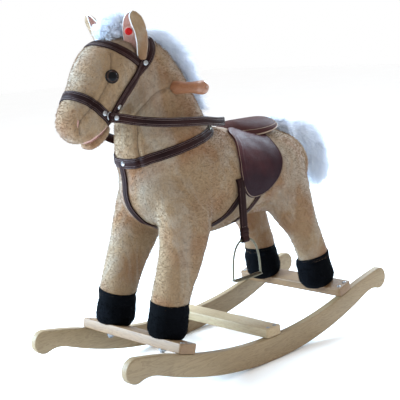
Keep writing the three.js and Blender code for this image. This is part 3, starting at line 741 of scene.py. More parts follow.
def lay_strap(path, width=0.015, thick=0.0024, tree=None, lift=0.0004, rows_of_thread=(0.80, 0.46), taper=0.0):
    """Adds one stitched strap lying on the skin."""
    path = resampled(evened(path, 4), 0.0022)
    tangent, out, across, rows = conform(path, width, tree or skin_tree, lift)
    half = width / 2
    s = STRAP_PROFILE[:, 0]
    ends = np.minimum(np.arange(len(path)), np.arange(len(path))[::-1]) * 0.0022
    narrow = 1 - taper * np.clip(1 - ends / 0.006, 0, 1) ** 2
    rings = []
    for p, n, b, fit, k in zip(path, out, across, rows, narrow):
        h = np.polyval(fit, s / 2) + STRAP_PROFILE[:, 1] * thick
        rings.append(p + np.outer(s * half * k, b) + np.outer(h, n))
    strap_parts.append(swept(np.array(rings)))
    for place_across in rows_of_thread:
        for sign in (1, -1):
            line, lean = [], []
            for p, n, b, fit in zip(path[1:-1], out[1:-1], across[1:-1], rows[1:-1]):
                t = sign * place_across
                line.append(p + b * (t * half) + n * (np.polyval(fit, t / 2) + thick * 0.93))
                lean.append(n)
            line = np.array(line)
            if len(line) < 4:
                continue
            even = resampled(np.hstack([line, np.array(lean)]), 0.0036)
            along = unit(np.gradient(even[:, :3], axis=0))
            strap_threads.append(stitches(even[:, :3], along, unit(even[:, 3:])))
    return path, tangent, out, across, rows


# Side-view lines of the straps, in millimetres, as the CAD straps lie.
BROW = [[280, 641], [256, 621], [221, 596], [189, 580]]
CROWN = [[148, 655], [160, 622], [172, 600], [190, 580], [216, 560], [240, 538], [258, 514], [268, 500]]
NOSE = [[345, 552], [321, 536], [306, 522], [293, 508], [272, 489]]
BREAST = [[245, 402], [214, 406], [195, 414], [156, 424], [109, 434], [60, 443], [12, 455]]
BILLET = [[-36, 324], [-31, 310], [-26, 300], [-20, 290], [-12, 277], [0, 262]]
GIRTH = [[-2, 360], [8, 342], [20, 321], [34, 298], [52, 278], [76, 262], [100, 236]]

brow = both_sides(side_path(BROW))
crown = both_sides(side_path(CROWN))
nose = both_sides(side_path(NOSE))
breast = both_sides(side_path(BREAST))
girth = both_sides(side_path(GIRTH)[::-1])
billet = side_path(BILLET)
lay_strap(brow, width=0.020)
lay_strap(nose, width=0.017)
lay_strap(crown, width=0.018, lift=0.0022)
lay_strap(breast, width=0.0185)
lay_strap(girth, width=0.014, rows_of_thread=(0.78,))
lay_strap(billet, width=0.013, rows_of_thread=(0.78,))
lay_strap(billet * MIRROR, width=0.013, rows_of_thread=(0.78,))
chest_line = []
for t in np.linspace(0, 1, 160):
    angle = math.radians(62 - 150 * t)
    aside = -0.009 * math.sin(math.pi * min(1, t * 1.5))
    start = Vector((0.135 + 0.2 * math.cos(angle), aside, 0.345 + 0.2 * math.sin(angle)))
    hit = skin_tree.ray_cast(start, Vector((0.135, aside, 0.345)) - start)
    if hit[0] is not None and hit[0].z < 0.405:
        chest_line.append(np.array(hit[0]))
lay_strap(np.array(chest_line), width=0.017, rows_of_thread=(0.78,), lift=0.001)

straps = build("bridle_straps", *merged(strap_parts), STRAP)
threads = build("strap_stitching", *merged(strap_threads), BROWN)
place(straps, "horse", "strap_leather", "browband", "cheek_strap", "noseband", "breast_strap", "chest_strap", "girth")
place(threads, "horse", "strap_leather")

# ---- reins -----------------------------------------------------------------------------------------

REIN = [
    [281, 49, 497], [259, 58, 493], [233, 66, 486], [187, 79, 478], [138, 82, 473],
    [88, 80, 469], [43, 67, 462], [6, 47, 458], [-13, 30, 455],
]
SLACK_REIN = [
    [281, 49, 497], [262, 56, 489], [236, 63, 474], [206, 70, 456], [172, 77, 441],
    [134, 80, 437], [94, 79, 442], [50, 68, 451], [8, 48, 457], [-13, 30, 455],
]
rein_metal = []
for side, sign, line in (("left", 1, REIN), ("right", -1, SLACK_REIN)):
    path = resampled(catmull(np.array(line) * MM, 200), 0.0022)
    for p in path:
        hit = on_side(p[0], p[2])
        if hit is not None:
            p[1] = max(p[1], hit[1] + (0.0022 if sign > 0 else 0.0056))
    path = evened(path, 9) * np.array([1, sign, 1])
    tangent = unit(np.gradient(path, axis=0))
    out = unit(np.cross(tangent, (0, 0, 1))) * sign
    out *= np.sign(out[:, 1:2]) * sign
    across = unit(np.cross(out, tangent))
    s = STRAP_PROFILE[:, 0]
    rings = np.array([
        p + np.outer(s * 0.0083, b) + np.outer((STRAP_PROFILE[:, 1] - 0.4) * 0.0024, n)
        for p, b, n in zip(path, across, out)
    ])
    rein = build("rein_strap_" + side, *swept(rings), STRAP)
    place(rein, "horse", "strap_leather", "rein_" + side)
    lines = []
    for t in (0.80, -0.80, 0.46, -0.46):
        line = path + across * (t * 0.0083) + out * 0.0015
        even = resampled(np.hstack([line, out])[2:-2], 0.0036)
        lines.append(stitches(even[:, :3], unit(np.gradient(even[:, :3], axis=0)), unit(even[:, 3:])))
    for k in (3, len(path) - 4):
        spots = path[k] + np.outer(np.linspace(-0.62, 0.62, 4) * 0.0075, across[k]) + out[k] * 0.0016
        lines.append(stitches(spots, np.repeat(across[k][None], 4, 0), np.repeat(out[k][None], 4, 0)))
    place(build("rein_stitching_" + side, *merged(lines), BROWN), "horse", "strap_leather")
    rein_metal.append((path[6] + out[6] * 0.0012, out[6]))

# ---- rivets and rings -----------------------------------------------------------------------------

strap_tree = tree_of(straps)
DOME = [
    (0.0, -0.001), (0.0044, -0.001), (0.0046, 0.0002), (0.0044, 0.001), (0.0037, 0.0019), (0.0025, 0.0026),
    (0.0012, 0.0029), (0.0, 0.003),
]
rivet_items, hook_items = [], []


def rivet(point, out):
    rivet_items.append(lathe(DOME, point, out, 20))


for x, z in ((189, 582), (257, 512), (289, 505)):
    hit = strap_tree.ray_cast(Vector((x * MM, 0.3, z * MM)), Vector((0, -1, 0)))
    if hit[0] is not None:
        p, n = np.array(hit[0]), unit(np.array(hit[1]))
        rivet(p, n)
        rivet(p * [1, -1, 1], n * [1, -1, 1])
hit = strap_tree.ray_cast(Vector((0.4, 0, 0.406)), Vector((-1, 0, 0)))
rivet(np.array(hit[0]), np.array(hit[1]))
for p, n in rein_metal:
    rivet(p, n)
angle = np.linspace(0, 2 * np.pi, 28, endpoint=False)
for sign in (1, -1):
    centre = np.array([0.2765, 0.0475 * sign, 0.4985])
    ring = centre + 0.0072 * np.stack([np.cos(angle), 0.25 * sign * np.cos(angle), np.sin(angle)], 1)
    rivet_items.append(tube(ring, 0.0011, 8, True))
    hook = np.array([0.050, 0.0555 * sign, 0.4525])
    ring = hook + np.stack([0.0080 * np.cos(angle), 0.006 * sign * np.cos(angle), 0.0042 * np.sin(angle)], 1)
    hook_items.append(tube(ring, 0.0012, 8, True))
place(build("rivets_and_rings", *merged(rivet_items), RIVET), "horse", "zinc_steel")
place(build("breast_strap_rings", *merged(hook_items), NICKEL), "horse", "zinc_steel")

# ---- saddle ------------------------------------------------------------------------------------------

FLAP = [
    [-6, 438], [-1, 424], [13, 397], [20, 372], [21, 352], [18, 335], [8, 319], [-13, 311],
    [-50, 317], [-86, 340], [-107, 373], [-106, 411], [-98, 438], [-50, 441],
]
loop = np.array(FLAP, float) * MM
closed = np.vstack([loop[-2:], loop, loop[:3]])
rim = catmull(closed, 1200)
gaps = np.linalg.norm(rim - loop[0], axis=1)
start = int(np.argmin(gaps[: len(gaps) // 2]))
stop = len(gaps) // 2 + int(np.argmin(gaps[len(gaps) // 2 :]))
rim = resampled(rim[start : stop + 1], 0.003)[:-1]
middle = np.array([-0.042, 0.378])
levels = np.r_[np.linspace(0, 0.9, 26)[1:], 0.93, 0.955, 0.975, 0.99, 1.0]
flap_points = [on_side(*middle)]
for level in levels:
    for spot in middle + (rim - middle) * level:
        hit = on_side(spot[0], spot[1])
        flap_points.append(hit if hit is not None else flap_points[-1])
flap_points = np.array(flap_points)
count = len(rim)
fan = np.stack([np.zeros(count, int), 1 + np.arange(count), 1 + (np.arange(count) + 1) % count], 1)
quads = []
for ring in range(len(levels) - 1):
    a = 1 + ring * count + np.arange(count)
    b = 1 + ring * count + (np.arange(count) + 1) % count
    quads.append(np.stack([a, a + count, b + count, b], 1))
quads = np.vstack(quads)
sheet = build("flap_sheet", flap_points, [fan, quads], SADDLE)
free = np.ones(len(flap_points))
relaxed(sheet.data, 30, 0.5, free)
base = arrays(sheet.data)
base[:, [0, 2]] = 0.35 * base[:, [0, 2]] + 0.65 * flap_points[:, [0, 2]]
lift = np.zeros(len(base))
for i, p in enumerate(base):
    hit = on_side(p[0], p[2])
    lift[i] = 0 if hit is None else max(0.0, hit[1] + 0.0006 - p[1])
base[:, 1] += lift
moved(sheet.data, base)
relaxed(sheet.data, 3, 0.5)
outward = normals_of(sheet.data)
outward *= np.sign(outward[:, 1:2] + 1e-9)
base = arrays(sheet.data)
level_of = np.r_[0, np.repeat(levels, count)]
height_of = base[:, 2]
base += outward * (0.0012 + 0.003 * np.clip((0.36 - height_of) / 0.05, 0, 1))[:, None]
edge_roll = np.sqrt(np.clip(1 - ((level_of - 0.955) / 0.045).clip(0, 1) ** 2, 0, 1))
crease = 0.0007 * np.exp(-(((level_of - 0.80) / 0.025) ** 2)) * (base[:, 0] > -0.03)
groove = 0.0005 * np.exp(-(((level_of - 0.93) / 0.012) ** 2))
thick = 0.0027 * (0.35 + 0.65 * edge_roll) + crease - groove
front = base + outward * thick[:, None]
rear = base + outward * (0.0009 * (1 - edge_roll))[:, None]
size = len(base)
rim_low = 1 + (len(levels) - 1) * count + np.arange(count)
rim_next = 1 + (len(levels) - 1) * count + (np.arange(count) + 1) % count
wall = np.stack([rim_low, rim_low + size, rim_next + size, rim_next], 1)
flap_faces = [np.vstack([fan, fan[:, ::-1] + size]), np.vstack([quads, quads[:, ::-1] + size, wall])]
flap_verts = np.vstack([front, rear])
bpy.data.objects.remove(sheet)
items, threads_items = [], []
for sign in (1, -1):
    v = flap_verts * np.array([1, sign, 1])
    items.append((v, [g[:, ::-1] if sign < 0 else g for g in flap_faces]))
    for ring_level, pitch in ((int(np.argmin(abs(levels - 0.955))), 0.0040),):
        a = 1 + ring_level * count
        line = np.hstack([front[a : a + count], outward[a : a + count]])
        line = np.vstack([line, line[:1]])
        even = resampled(line, pitch)
        even = even[even[:, 2] < 0.432]
        along = unit(np.gradient(even[:, :3], axis=0))
        v, f = stitches(even[:, :3] + even[:, 3:] * 0.0001, along, unit(even[:, 3:]), 0.0031, 0.0010, 0.0005)
        threads_items.append((v * np.array([1, sign, 1]), f))
place(build("saddle_flap_leather", *merged(items), SADDLE), "horse", "saddle_leather", "saddle_flaps")

# The seat: a leaf-shaped crowned pad; rows run from its front tip to its round back.
SEAT_PLAN = [
    [-4, 5], [-16, 12], [-34, 25], [-56, 39], [-82, 51], [-112, 57], [-140, 55], [-162, 45], [-176, 28], [-183, 8],
]
plan = catmull(np.array(SEAT_PLAN, float) * MM, 60)
plan[:, 0] = 0.004 + (plan[:, 0] + 0.004) * 0.972
span = np.linspace(-1, 1, 41)


def seat_edge(t):
    """Height of the seat's rim, from the front tip (0) to the back (1)."""
    return 0.430 - 0.008 * math.sin(math.pi * t) ** 2 + 0.012 * t**2.5


top_rows, low_rows = [], []
for i, (x, w) in enumerate(plan):
    t = i / (len(plan) - 1)
    edge_z = seat_edge(t)
    crown = 0.027 * math.sin(math.pi * min(1, 0.12 + 0.9 * t)) ** 0.8 * min(1, w / 0.045)
    for v in span:
        y = w * v
        z = edge_z + crown * (1 - abs(v) ** 2.3) ** 0.75
        top_rows.append((x, y, z))
        hit = skin_tree.ray_cast(Vector((x, y * 0.95, 0.6)), Vector((0, 0, -1)))
        floor_z = hit[0].z + 0.003 if hit[0] is not None else edge_z - 0.01
        blend = abs(v) ** 3
        low_rows.append((x, y * 0.96, min(z - 0.003, floor_z * (1 - blend) + (edge_z - 0.006) * blend)))
n, k = len(plan), len(span)
top, low = np.array(top_rows).reshape(n, k, 3), np.array(low_rows).reshape(n, k, 3)
rings = np.concatenate([top, low[:, ::-1]], 1)
verts, faces = swept(rings)
seat = build("saddle_seat_pad", verts, faces, SEAT)
modified(seat, "REMESH", mode="VOXEL", voxel_size=0.0032)
applied(seat)
relaxed(seat.data, 5)
seat_tree = tree_of(seat)
edge = []
for sign in (1, -1):
    side = []
    for i, (x, w) in enumerate(plan[2:]):
        t = (i + 2) / (len(plan) - 1)
        z = seat_edge(t) - 0.001
        near = seat_tree.find_nearest(Vector((x, sign * (w + 0.004), z - 0.002)))
        side.append(np.array(near[0]) + 0.0004 * np.array(near[1]))
    edge.append(side)
welt = np.vstack([edge[0], edge[1][::-1]])
welt = resampled(evened(welt, 4), 0.003)
place(seat, "horse", "saddle_leather", "saddle_seat")
place(build("seat_welt", *tube(welt, 0.0013, 10), CREAM), "horse", "saddle_leather")
inner = []
for p in welt:
    q = Vector((p[0] + (0.006 if p[0] < -0.15 else 0.0), p[1] * 0.93, p[2] + 0.02))
    hit = seat_tree.ray_cast(q, Vector((0, 0, -1)))
    if hit[0] is not None and hit[1].z > 0.1:
        inner.append(np.r_[np.array(hit[0]), np.array(hit[1])])
even = resampled(np.array(inner), 0.0042)
along = unit(np.gradient(even[:, :3], axis=0))
threads_items.append(stitches(even[:, :3], along, unit(even[:, 3:]), 0.0031, 0.001, 0.0006))
place(build("saddle_stitching", *merged(threads_items), CREAM), "horse", "saddle_leather")

# ---- stirrup leathers and stirrups ---------------------------------------------------------------

PIN_Z, PIN_LOOP = 0.2375, 0.0049  # height of the stirrup's pivot, and how far the leather passes round it
LEATHER_HALF, LEATHER_THICK = 0.0083, 0.0013
FRONT_RUN = [
    (-0.0060, 0.3530), (-0.0030, 0.344), (-0.0019, 0.33), (-0.0019, 0.30), (-0.0018, 0.262), (-0.0026, 0.246),
]
BACK_RUN = [(0.0026, 0.246), (0.0018, 0.262), (0.0019, 0.30), (0.0019, 0.33), (0.0008, 0.344), (-0.0022, 0.3530)]
KEEPER = [(0.95, -0.0032), (1.04, -0.0028), (1.07, -0.0015), (1.07, 0.0015), (1.04, 0.0028), (0.95, 0.0032)]
for side, sign in (("left", 1), ("right", -1)):
    low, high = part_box("stirrup_leather_" + side)
    mid_x, mid_y = (low.x + high.x) / 2, sign * 0.102
    turn = np.radians(np.linspace(150, 390, 22))
    loop_line = [(PIN_LOOP * math.cos(a), PIN_Z + PIN_LOOP * math.sin(a)) for a in turn]
    line = FRONT_RUN + loop_line + BACK_RUN
    path = resampled(catmull(np.array([[0, y, z] for y, z in line]), 500), 0.0016)
    tangent = unit(np.gradient(path, axis=0))
    out = np.cross(tangent, (1, 0, 0))
    rings = []
    s = STRAP_PROFILE[:, 0]
    for p, n in zip(path, out):
        thick = (STRAP_PROFILE[:, 1] - 0.5) * LEATHER_THICK
        rings.append(p + np.outer(s * LEATHER_HALF, (1, 0, 0)) + np.outer(thick, n))
    v, f = swept(np.array(rings))
    v = v * np.array([1, sign, 1]) + np.array([mid_x, mid_y, 0])
    leather = build("stirrup_strap_" + side, v, [g[:, ::-1] if sign < 0 else g for g in f], STRAP)
    keeper = []
    for z in (0.2555, 0.2485):
        angle = np.linspace(0, 2 * np.pi, 32, endpoint=False)
        square = [np.sign(c) * np.abs(c) ** 0.35 for c in (np.cos(angle), np.sin(angle))]
        rings = []
        for r, h in KEEPER:
            x, y = mid_x + square[0] * 0.0092 * r, mid_y + square[1] * 0.0037 * r
            rings.append(np.stack([x, y, np.full(32, z + h)], 1))
        keeper.append(swept(np.array(rings)[::-1]))
    place(leather, "stirrup_leather_" + side, "strap_leather", "stirrup_leather_" + side)
    place(build("stirrup_keeper_" + side, *merged(keeper), STRAP), "stirrup_leather_" + side, "strap_leather")
    lines = []
    for face in (1, -1):
        for t in (-0.8, 0.8):
            z = np.arange(0.264, 0.336, 0.0036)
            spots = np.stack([np.full(len(z), mid_x + t * LEATHER_HALF), np.full(len(z), mid_y + face * 0.0026), z], 1)
            ones = np.ones((len(z), 1))
            lines.append(stitches(spots, ones * np.array([[0, 0, 1.0]]), ones * np.array([[0, face, 0.0]])))
        x = np.linspace(-0.0062, 0.0062, 4)
        spots = np.stack([mid_x + x, np.full(4, mid_y + face * 0.0028), np.full(4, 0.2625)], 1)
        ones = np.ones((4, 1))
        lines.append(stitches(spots, ones * np.array([[1.0, 0, 0]]), ones * np.array([[0, face, 0.0]])))
    place(build("stirrup_strap_stitching_" + side, *merged(lines), BROWN), "stirrup_leather_" + side, "strap_leather")

    low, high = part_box("stirrup_" + side)
    mid = np.array([(low.x + high.x) / 2, sign * abs(low.y + high.y) / 2, 0])
    top, bottom, half_w = high.z - 0.0017, low.z + 0.0015, (high.x - low.x) / 2 - 0.0017
    t = np.linspace(0, math.pi, 90)
    arch_x = half_w * np.sign(np.cos(t)) * np.abs(np.cos(t)) ** 0.82
    arch_z = bottom + (top - bottom) * np.sin(t) ** 0.74
    bow = np.stack([mid[0] + arch_x, np.full(90, mid[1]), arch_z], 1)
    bow = resampled(bow, 0.0024)
    items = [tube(bow, 0.0021, 12)]
    y = np.linspace(-1, 1, 9)
    plate = []
    for x in np.linspace(-1, 1, 41):
        wide = 0.008 * (1 - 0.25 * abs(x) ** 4)
        ribs = 0.0004 * np.cos(y * math.pi * 3)
        sag = -0.0006 * (1 - x * x)
        across = np.full(9, mid[0] + x * half_w)
        upper = np.stack([across, mid[1] + y * wide, bottom + 0.0013 + sag + ribs - 0.0006 * y**4], 1)
        under_side = np.stack([across, mid[1] + y[::-1] * wide, np.full(9, bottom - 0.0011 + sag)], 1)
        plate.append(np.vstack([upper, under_side]))
    items.append(swept(np.array(plate)))
    metal = build("stirrup_iron_" + side, *merged(items), NICKEL)
    place(metal, "stirrup_" + side, "stirrup_metal", "stirrup_" + side)

# ---- eyes, nostrils ---------------------------------------------------------------------------------

EYE_PROFILE = [
    (0.0, -3.0), (9.0, -3.0), (9.9, -1.6), (10.2, 0.2), (10.0, 1.6), (9.3, 2.6), (8.7, 2.8), (8.3, 2.6),
    (8.0, 3.1), (7.4, 4.0), (6.6, 4.9), (5.6, 5.7), (4.4, 6.3), (3.0, 6.8), (1.5, 7.1), (0.0, 7.2),
]
for side, sign in (("left", 1), ("right", -1)):
    centre = middle_of("eye_" + side)
    axis = unit(np.array([0.36, sign * 0.91, 0.10]))
    profile = [(r * 1.18 * MM, h * MM) for r, h in EYE_PROFILE]
    centre = centre + np.array([0.0026, -sign * 0.0010, 0])
    eye = build("glass_eye_" + side, *lathe(profile, centre + axis * 0.0022, axis, 40), [DARK, IRIS, PUPIL])
    poly = eye.data.polygons
    middles = np.zeros(len(poly) * 3)
    poly.foreach_get("center", middles)
    offset = middles.reshape(-1, 3) - centre
    radial = np.linalg.norm(offset - np.outer(offset @ axis, axis), axis=1)
    poly.foreach_set("material_index", np.where(radial > 0.0102, 0, np.where(radial > 0.0076, 1, 2)).astype(np.int32))
    place(eye, "horse", "eye_plastic", "eye_" + side)
    hits = [on_side((0.3322 + 0.0010 * t), 0.4987 - 0.0125 * t) for t in np.linspace(0, 1, 9)]
    line = np.array([h for h in hits if h is not None]) * np.array([1, sign, 1])
    thick = 0.0012 * np.sin(np.linspace(0.5, math.pi - 0.5, len(line))) + 0.0003
    nostril = build("nostril_" + side, *tube(evened(line, 2), thick, 10), PINK)
    place(nostril, "horse", "plush")

# ---- ears ----------------------------------------------------------------------------------------

EAR_LINE = np.array([
    [193, 34, 588, 15, 10], [197, 36, 597, 18, 11], [203, 44, 620, 21.5, 11], [211, 53, 645, 20.5, 9.5],
    [217, 60, 661, 15.5, 7.5], [219, 62.5, 668, 9.5, 5], [220, 64, 671.5, 3, 2.5],
]) * MM
EAR_WIDE = unit(np.array([0.62, -0.75, 0.2]))
EAR_OUT = unit(np.array([0.771, 0.637, 0.0]))
button_low, button_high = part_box("ear_button")
button_mid = (np.array(button_low) + np.array(button_high)) / 2
button_face = button_mid + EAR_OUT * 0.0035


def ear_parts(wide_way, open_way, button_level):
    """A left ear's shell, its pink faces and its two edge lines; level says how far the button stands out."""
    line = catmull(EAR_LINE, 60)
    across = np.linspace(-1, 1, 49)
    round_side = np.sqrt(np.clip(1 - across**2, 0, 1))
    front, rear, pink, rim, far = [], [], [], [], []
    for x, y, z, wide, deep in line:
        centre = np.array([x, y, z])
        high = (z - 0.597) / 0.065
        rim_at = np.interp(high, (-0.1, 0.0, 0.35, 0.62, 0.85, 1.05), (-0.22, -0.20, -0.16, -0.06, 0.22, 0.5))
        inside = np.clip((across - rim_at) / max(0.97 - rim_at, 0.05), 0, 1)
        bowl = np.sin(np.pi * inside) ** 0.7
        depth = deep * round_side
        depth = depth - (depth + 0.25 * deep) * bowl * (across > rim_at)
        base = centre + across[:, None] * wide * wide_way
        if button_level is not None:
            apart = base - button_mid
            near = np.linalg.norm(apart - np.outer(apart @ open_way, open_way), axis=1)
            level = (button_face - centre) @ open_way - button_level
            blend = np.exp(-((near / 0.0085) ** 4))
            depth = depth * (1 - blend) + np.maximum(depth, level) * blend
        front.append(base + depth[:, None] * open_way)
        rear.append(base - (deep * round_side)[:, None] * open_way)
        pink.append((across[:-1] + across[1:]) / 2 > rim_at + 0.02)
        rim.append(centre + rim_at * wide * wide_way + deep * math.sqrt(1 - rim_at**2) * open_way)
        far.append(centre + 0.985 * wide * wide_way + 0.0006 * open_way)
    rings = np.concatenate([np.array(front), np.array(rear)[:, ::-1][:, 1:-1]], 1)
    return rings, np.array(pink), np.array(rim), np.array(far)


ears = []
turned = Matrix.Rotation(math.radians(-28), 3, "Z")
for side, sign in (("left", 1), ("right", -1)):
    flip = np.array([1, sign, 1])
    if sign > 0:
        rings, pink, rim, far = ear_parts(EAR_WIDE, EAR_OUT, 0.0022)
    else:
        rings, pink, rim, far = ear_parts(np.array(turned @ Vector(EAR_WIDE)), np.array(turned @ Vector(EAR_OUT)), None)
    ear_verts, (quads, ends) = swept(rings)
    if sign < 0:
        quads, ends = quads[:, ::-1], ends[:, ::-1]
    ear = build("ear_shell_" + side, ear_verts * flip, [quads, ends], [PLUSH, PINK])
    marks = np.zeros(len(ear.data.polygons), np.int32)
    grid = np.zeros((len(rings) - 1, rings.shape[1]), bool)
    grid[:, : pink.shape[1]] = pink[:-1]
    marks[: grid.size] = grid.ravel()
    ear.data.polygons.foreach_set("material_index", marks)
    place(ear, "horse", "plush", "ear_" + side)
    trim = resampled(np.vstack([rim, far[::-1]]) * flip, 0.0018)
    place(build("ear_piping_" + side, *tube(evened(trim, 3), 0.0010, 9), WHITE_EDGE), "horse", "plush")
    ears.append(ear)

button = [
    (0.0, -0.0045), (0.0055, -0.0045), (0.0062, -0.0038), (0.0065, -0.0020), (0.0064, -0.0008), (0.0060, 0.0),
    (0.0052, 0.0006), (0.0036, 0.0010), (0.0018, 0.0009), (0.0, 0.0006),
]
button_cloth = build("ear_button_cloth", *lathe(button, button_face, EAR_OUT, 36), RED)
place(button_cloth, "ear_button", "button_cloth", "ear_button")
angle = np.linspace(0, 2 * np.pi, 22, endpoint=False)[:, None]
side_dir = unit(np.cross(EAR_OUT, (0, 0, 1)))
up_dir = np.cross(side_dir, EAR_OUT)
ring_out = np.cos(angle) * side_dir + np.sin(angle) * up_dir
ring_along = -np.sin(angle) * side_dir + np.cos(angle) * up_dir
ring = button_face + ring_out * 0.0050 + EAR_OUT * 0.0008
v = stitches(ring, ring_along, np.repeat(EAR_OUT[None], 22, 0), 0.0011, 0.0005, 0.0003)
place(build("ear_button_thread", *v, RED), "ear_button", "button_cloth")

# ---- hooves --------------------------------------------------------------------------------------

hooves = []
for node in sorted(n for n in NODE if "hoof" in n):
    hoof = stuffed(node + "_plush", [cad_arrays(node)], 0.0026, 5, 0.0022, BLACK)
    co = arrays(hoof.data)
    low_edge = np.clip((co[:, 2] - co[:, 2].min()) / 0.012, 0, 1)
    pushed(hoof.data, (0.0011 * field(co, 40, 5) + 0.0006 * field(co, 95, 6)) * low_edge)
    place(hoof, "horse", "hoof_plush", node)
    hooves.append(hoof)

CUFF = [
    (0.022, -0.0010), (0.018, 0.0008), (0.011, 0.0017), (0.005, 0.0021), (0.0014, 0.0022), (0.0, 0.0014),
    (0.0006, 0.0002), (0.006, -0.0020),
]
ACROSS_VIEW = np.array([0.717, -0.693])
LEAN = {"front_left": 0.20, "front_right": 0.30, "rear_left": -0.34, "rear_right": -0.05}
turn = np.linspace(0, 2 * np.pi, 64, endpoint=False)
ways = np.stack([np.cos(turn), np.sin(turn), np.zeros(64)], 1)
for hoof in hooves:
    row = "front" if hoof.name.startswith("front") else "rear"
    v = arrays(hoof.data)
    top = v[:, 2].max()
    upper = v[v[:, 2] > top - 0.015]
    centre = (upper.min(0) + upper.max(0)) / 2
    lean = LEAN[row + ("_left" if centre[1] > 0 else "_right")]
    around = tree_of(skin, hoof)
    rings = []
    for drop, out in CUFF:
        radius, level = [], []
        for way in ways:
            z = top + lean * 0.028 * float(way[:2] @ ACROSS_VIEW) - drop
            start = Vector((centre[0] + way[0] * 0.08, centre[1] + way[1] * 0.08, z))
            hit = around.ray_cast(start, Vector(-way))
            radius.append(0.08 - hit[3] if hit[0] is not None else 0.03)
            level.append(z)
        radius = np.array(radius)
        for _ in range(4):
            radius = 0.25 * np.roll(radius, 1) + 0.5 * radius + 0.25 * np.roll(radius, -1)
        flat = centre[:2] + ways[:, :2] * (radius + out)[:, None]
        rings.append(np.c_[flat, level])
    rings = np.array(rings)
    rings = np.concatenate([rings, rings[-1:] * 0.5 + rings[:1] * 0.5], 0)
    verts, faces = swept(rings, closed=True)
    place(build(hoof.name + "_cuff", verts, faces, BLACK), "horse", "hoof_plush")

# ---- hair ----------------------------------------------------------------------------------------


def sampled(mesh, count):
    """Random points spread evenly over the faces of a mesh's first material, with the normals there."""
    v, t = arrays(mesh), triangles(mesh)
    face_of = np.zeros(len(t), np.int32)
    mesh.loop_triangles.foreach_get("polygon_index", face_of)
    kinds = np.zeros(len(mesh.polygons), np.int32)
    mesh.polygons.foreach_get("material_index", kinds)
    t = t[kinds[face_of] == 0]
    a, b, c = v[t[:, 0]], v[t[:, 1]], v[t[:, 2]]
    cross = np.cross(b - a, c - a)
    area = np.linalg.norm(cross, axis=1)
    pick = rng.choice(len(t), count, p=area / area.sum())
    u, w = rng.random((2, count))
    over = u + w > 1
    u[over], w[over] = 1 - u[over], 1 - w[over]
    points = a[pick] + u[:, None] * (b - a)[pick] + w[:, None] * (c - a)[pick]
    return points, unit(cross[pick])


def strands(roots, start, lay, length, radius, curl):
    """Closed three-sided tapering strands that leave along start and bend over to lay."""
    n = len(roots)
    side = unit(np.cross(start, rng.normal(size=(n, 3))))
    rings = []
    wave = rng.uniform(0, 2 * np.pi, n)
    for t in (0.0, 0.22, 0.45, 0.68, 0.86):
        p = roots + length[:, None] * (start * t + (lay - start) * t * t * 0.6)
        p = p + side * (curl * np.sin(wave + 5.0 * t) * t)[:, None]
        other = unit(np.cross(start, side))
        r = (radius * (1 - 0.75 * t**2))[:, None]
        rings.append(np.stack([p + r * (math.cos(a) * side + math.sin(a) * other) for a in (0, 2.094, 4.189)], 1))
    tip = roots + length[:, None] * (start + (lay - start) * 0.6) + side * (curl * np.sin(wave + 5.0))[:, None]
    verts = np.concatenate([np.concatenate(rings, 1), tip[:, None]], 1)
    quads, tris = [], [(2, 1, 0)]
    for i in range(4):
        for j in range(3):
            quads.append((i * 3 + j, i * 3 + (j + 1) % 3, i * 3 + 3 + (j + 1) % 3, i * 3 + 3 + j))
    for j in range(3):
        tris.append((12 + j, 12 + (j + 1) % 3, 15))
    shift = (np.arange(n) * 16)[:, None, None]
    faces = [(np.array(quads)[None] + shift).reshape(-1, 4), (np.array(tris)[None] + shift).reshape(-1, 3)]
    return verts.reshape(-1, 3), faces


LOCK_LIMIT = 7000  # strands in one piece


def fur(node, body, count, length, flow, thick=0.00038, shrink=0.005, clumps=0.0075, stand=0.55, shape=None, name=None):
    """A fluffy mass of hair: a soft core inside the CAD form, and clumped strands round it."""
    v, t = cad_arrays(node)
    name = name or node
    core = stuffed(name + "_core", [(v if shape is None else shape(v), t)], 0.0036, 10, -shrink, HAIR)
    place(core, body, "white_hair", *([node] if name == node else []))
    roots, normal = sampled(core.data, count)
    start = unit(normal * stand + flow(roots, normal) * 0.5 + rng.normal(size=(count, 3)) * 0.22)
    lay = unit(flow(roots, normal) + normal * 0.25 + rng.normal(size=(count, 3)) * 0.25)
    size = length * rng.uniform(0.6, 1.15, count)
    centres = rng.choice(count, max(20, int(count * clumps)), replace=False)
    gap = ((roots[:, None] - roots[centres][None]) ** 2).sum(2)
    mine = centres[gap.argmin(1)]
    tip = roots + size[:, None] * lay
    pull = tip + 0.6 * (roots[mine] + (length * lay[mine]) - tip)
    lay = unit(pull - roots)
    roots = roots - normal * 0.001
    for k, own in enumerate(np.array_split(np.arange(count), 1 + count // LOCK_LIMIT)):
        curl = rng.uniform(0.0006, 0.0024, len(own))
        v, f = strands(roots[own], start[own], lay[own], size[own], np.full(len(own), thick), curl)
        place(build(f"{name}_hair_{k}", v, f, HAIR), body, "white_hair")
    return core


def mane_flow(p, n):
    """Combed down the neck and out to both sides."""
    out = np.zeros_like(p)
    out[:, 1] = np.sign(p[:, 1]) * 0.8
    out[:, 0] = -0.15
    out[:, 2] = -0.7
    return unit(out + n * 0.2)


def tail_flow(p, n):
    """Along the tail: back at its root, then straight down."""
    t = np.clip((0.40 - p[:, 2]) / 0.05, 0, 1)
    out = np.stack([-0.9 + 0.75 * t, np.zeros(len(p)), -0.35 - 0.75 * t], 1)
    return unit(out + n * 0.15)


def forelock_flow(p, n):
    """Fluffed up and forward between the ears."""
    out = np.stack([np.full(len(p), 0.25), n[:, 1] * 0.3, np.full(len(p), 0.25)], 1)
    return unit(out + n * 0.9)


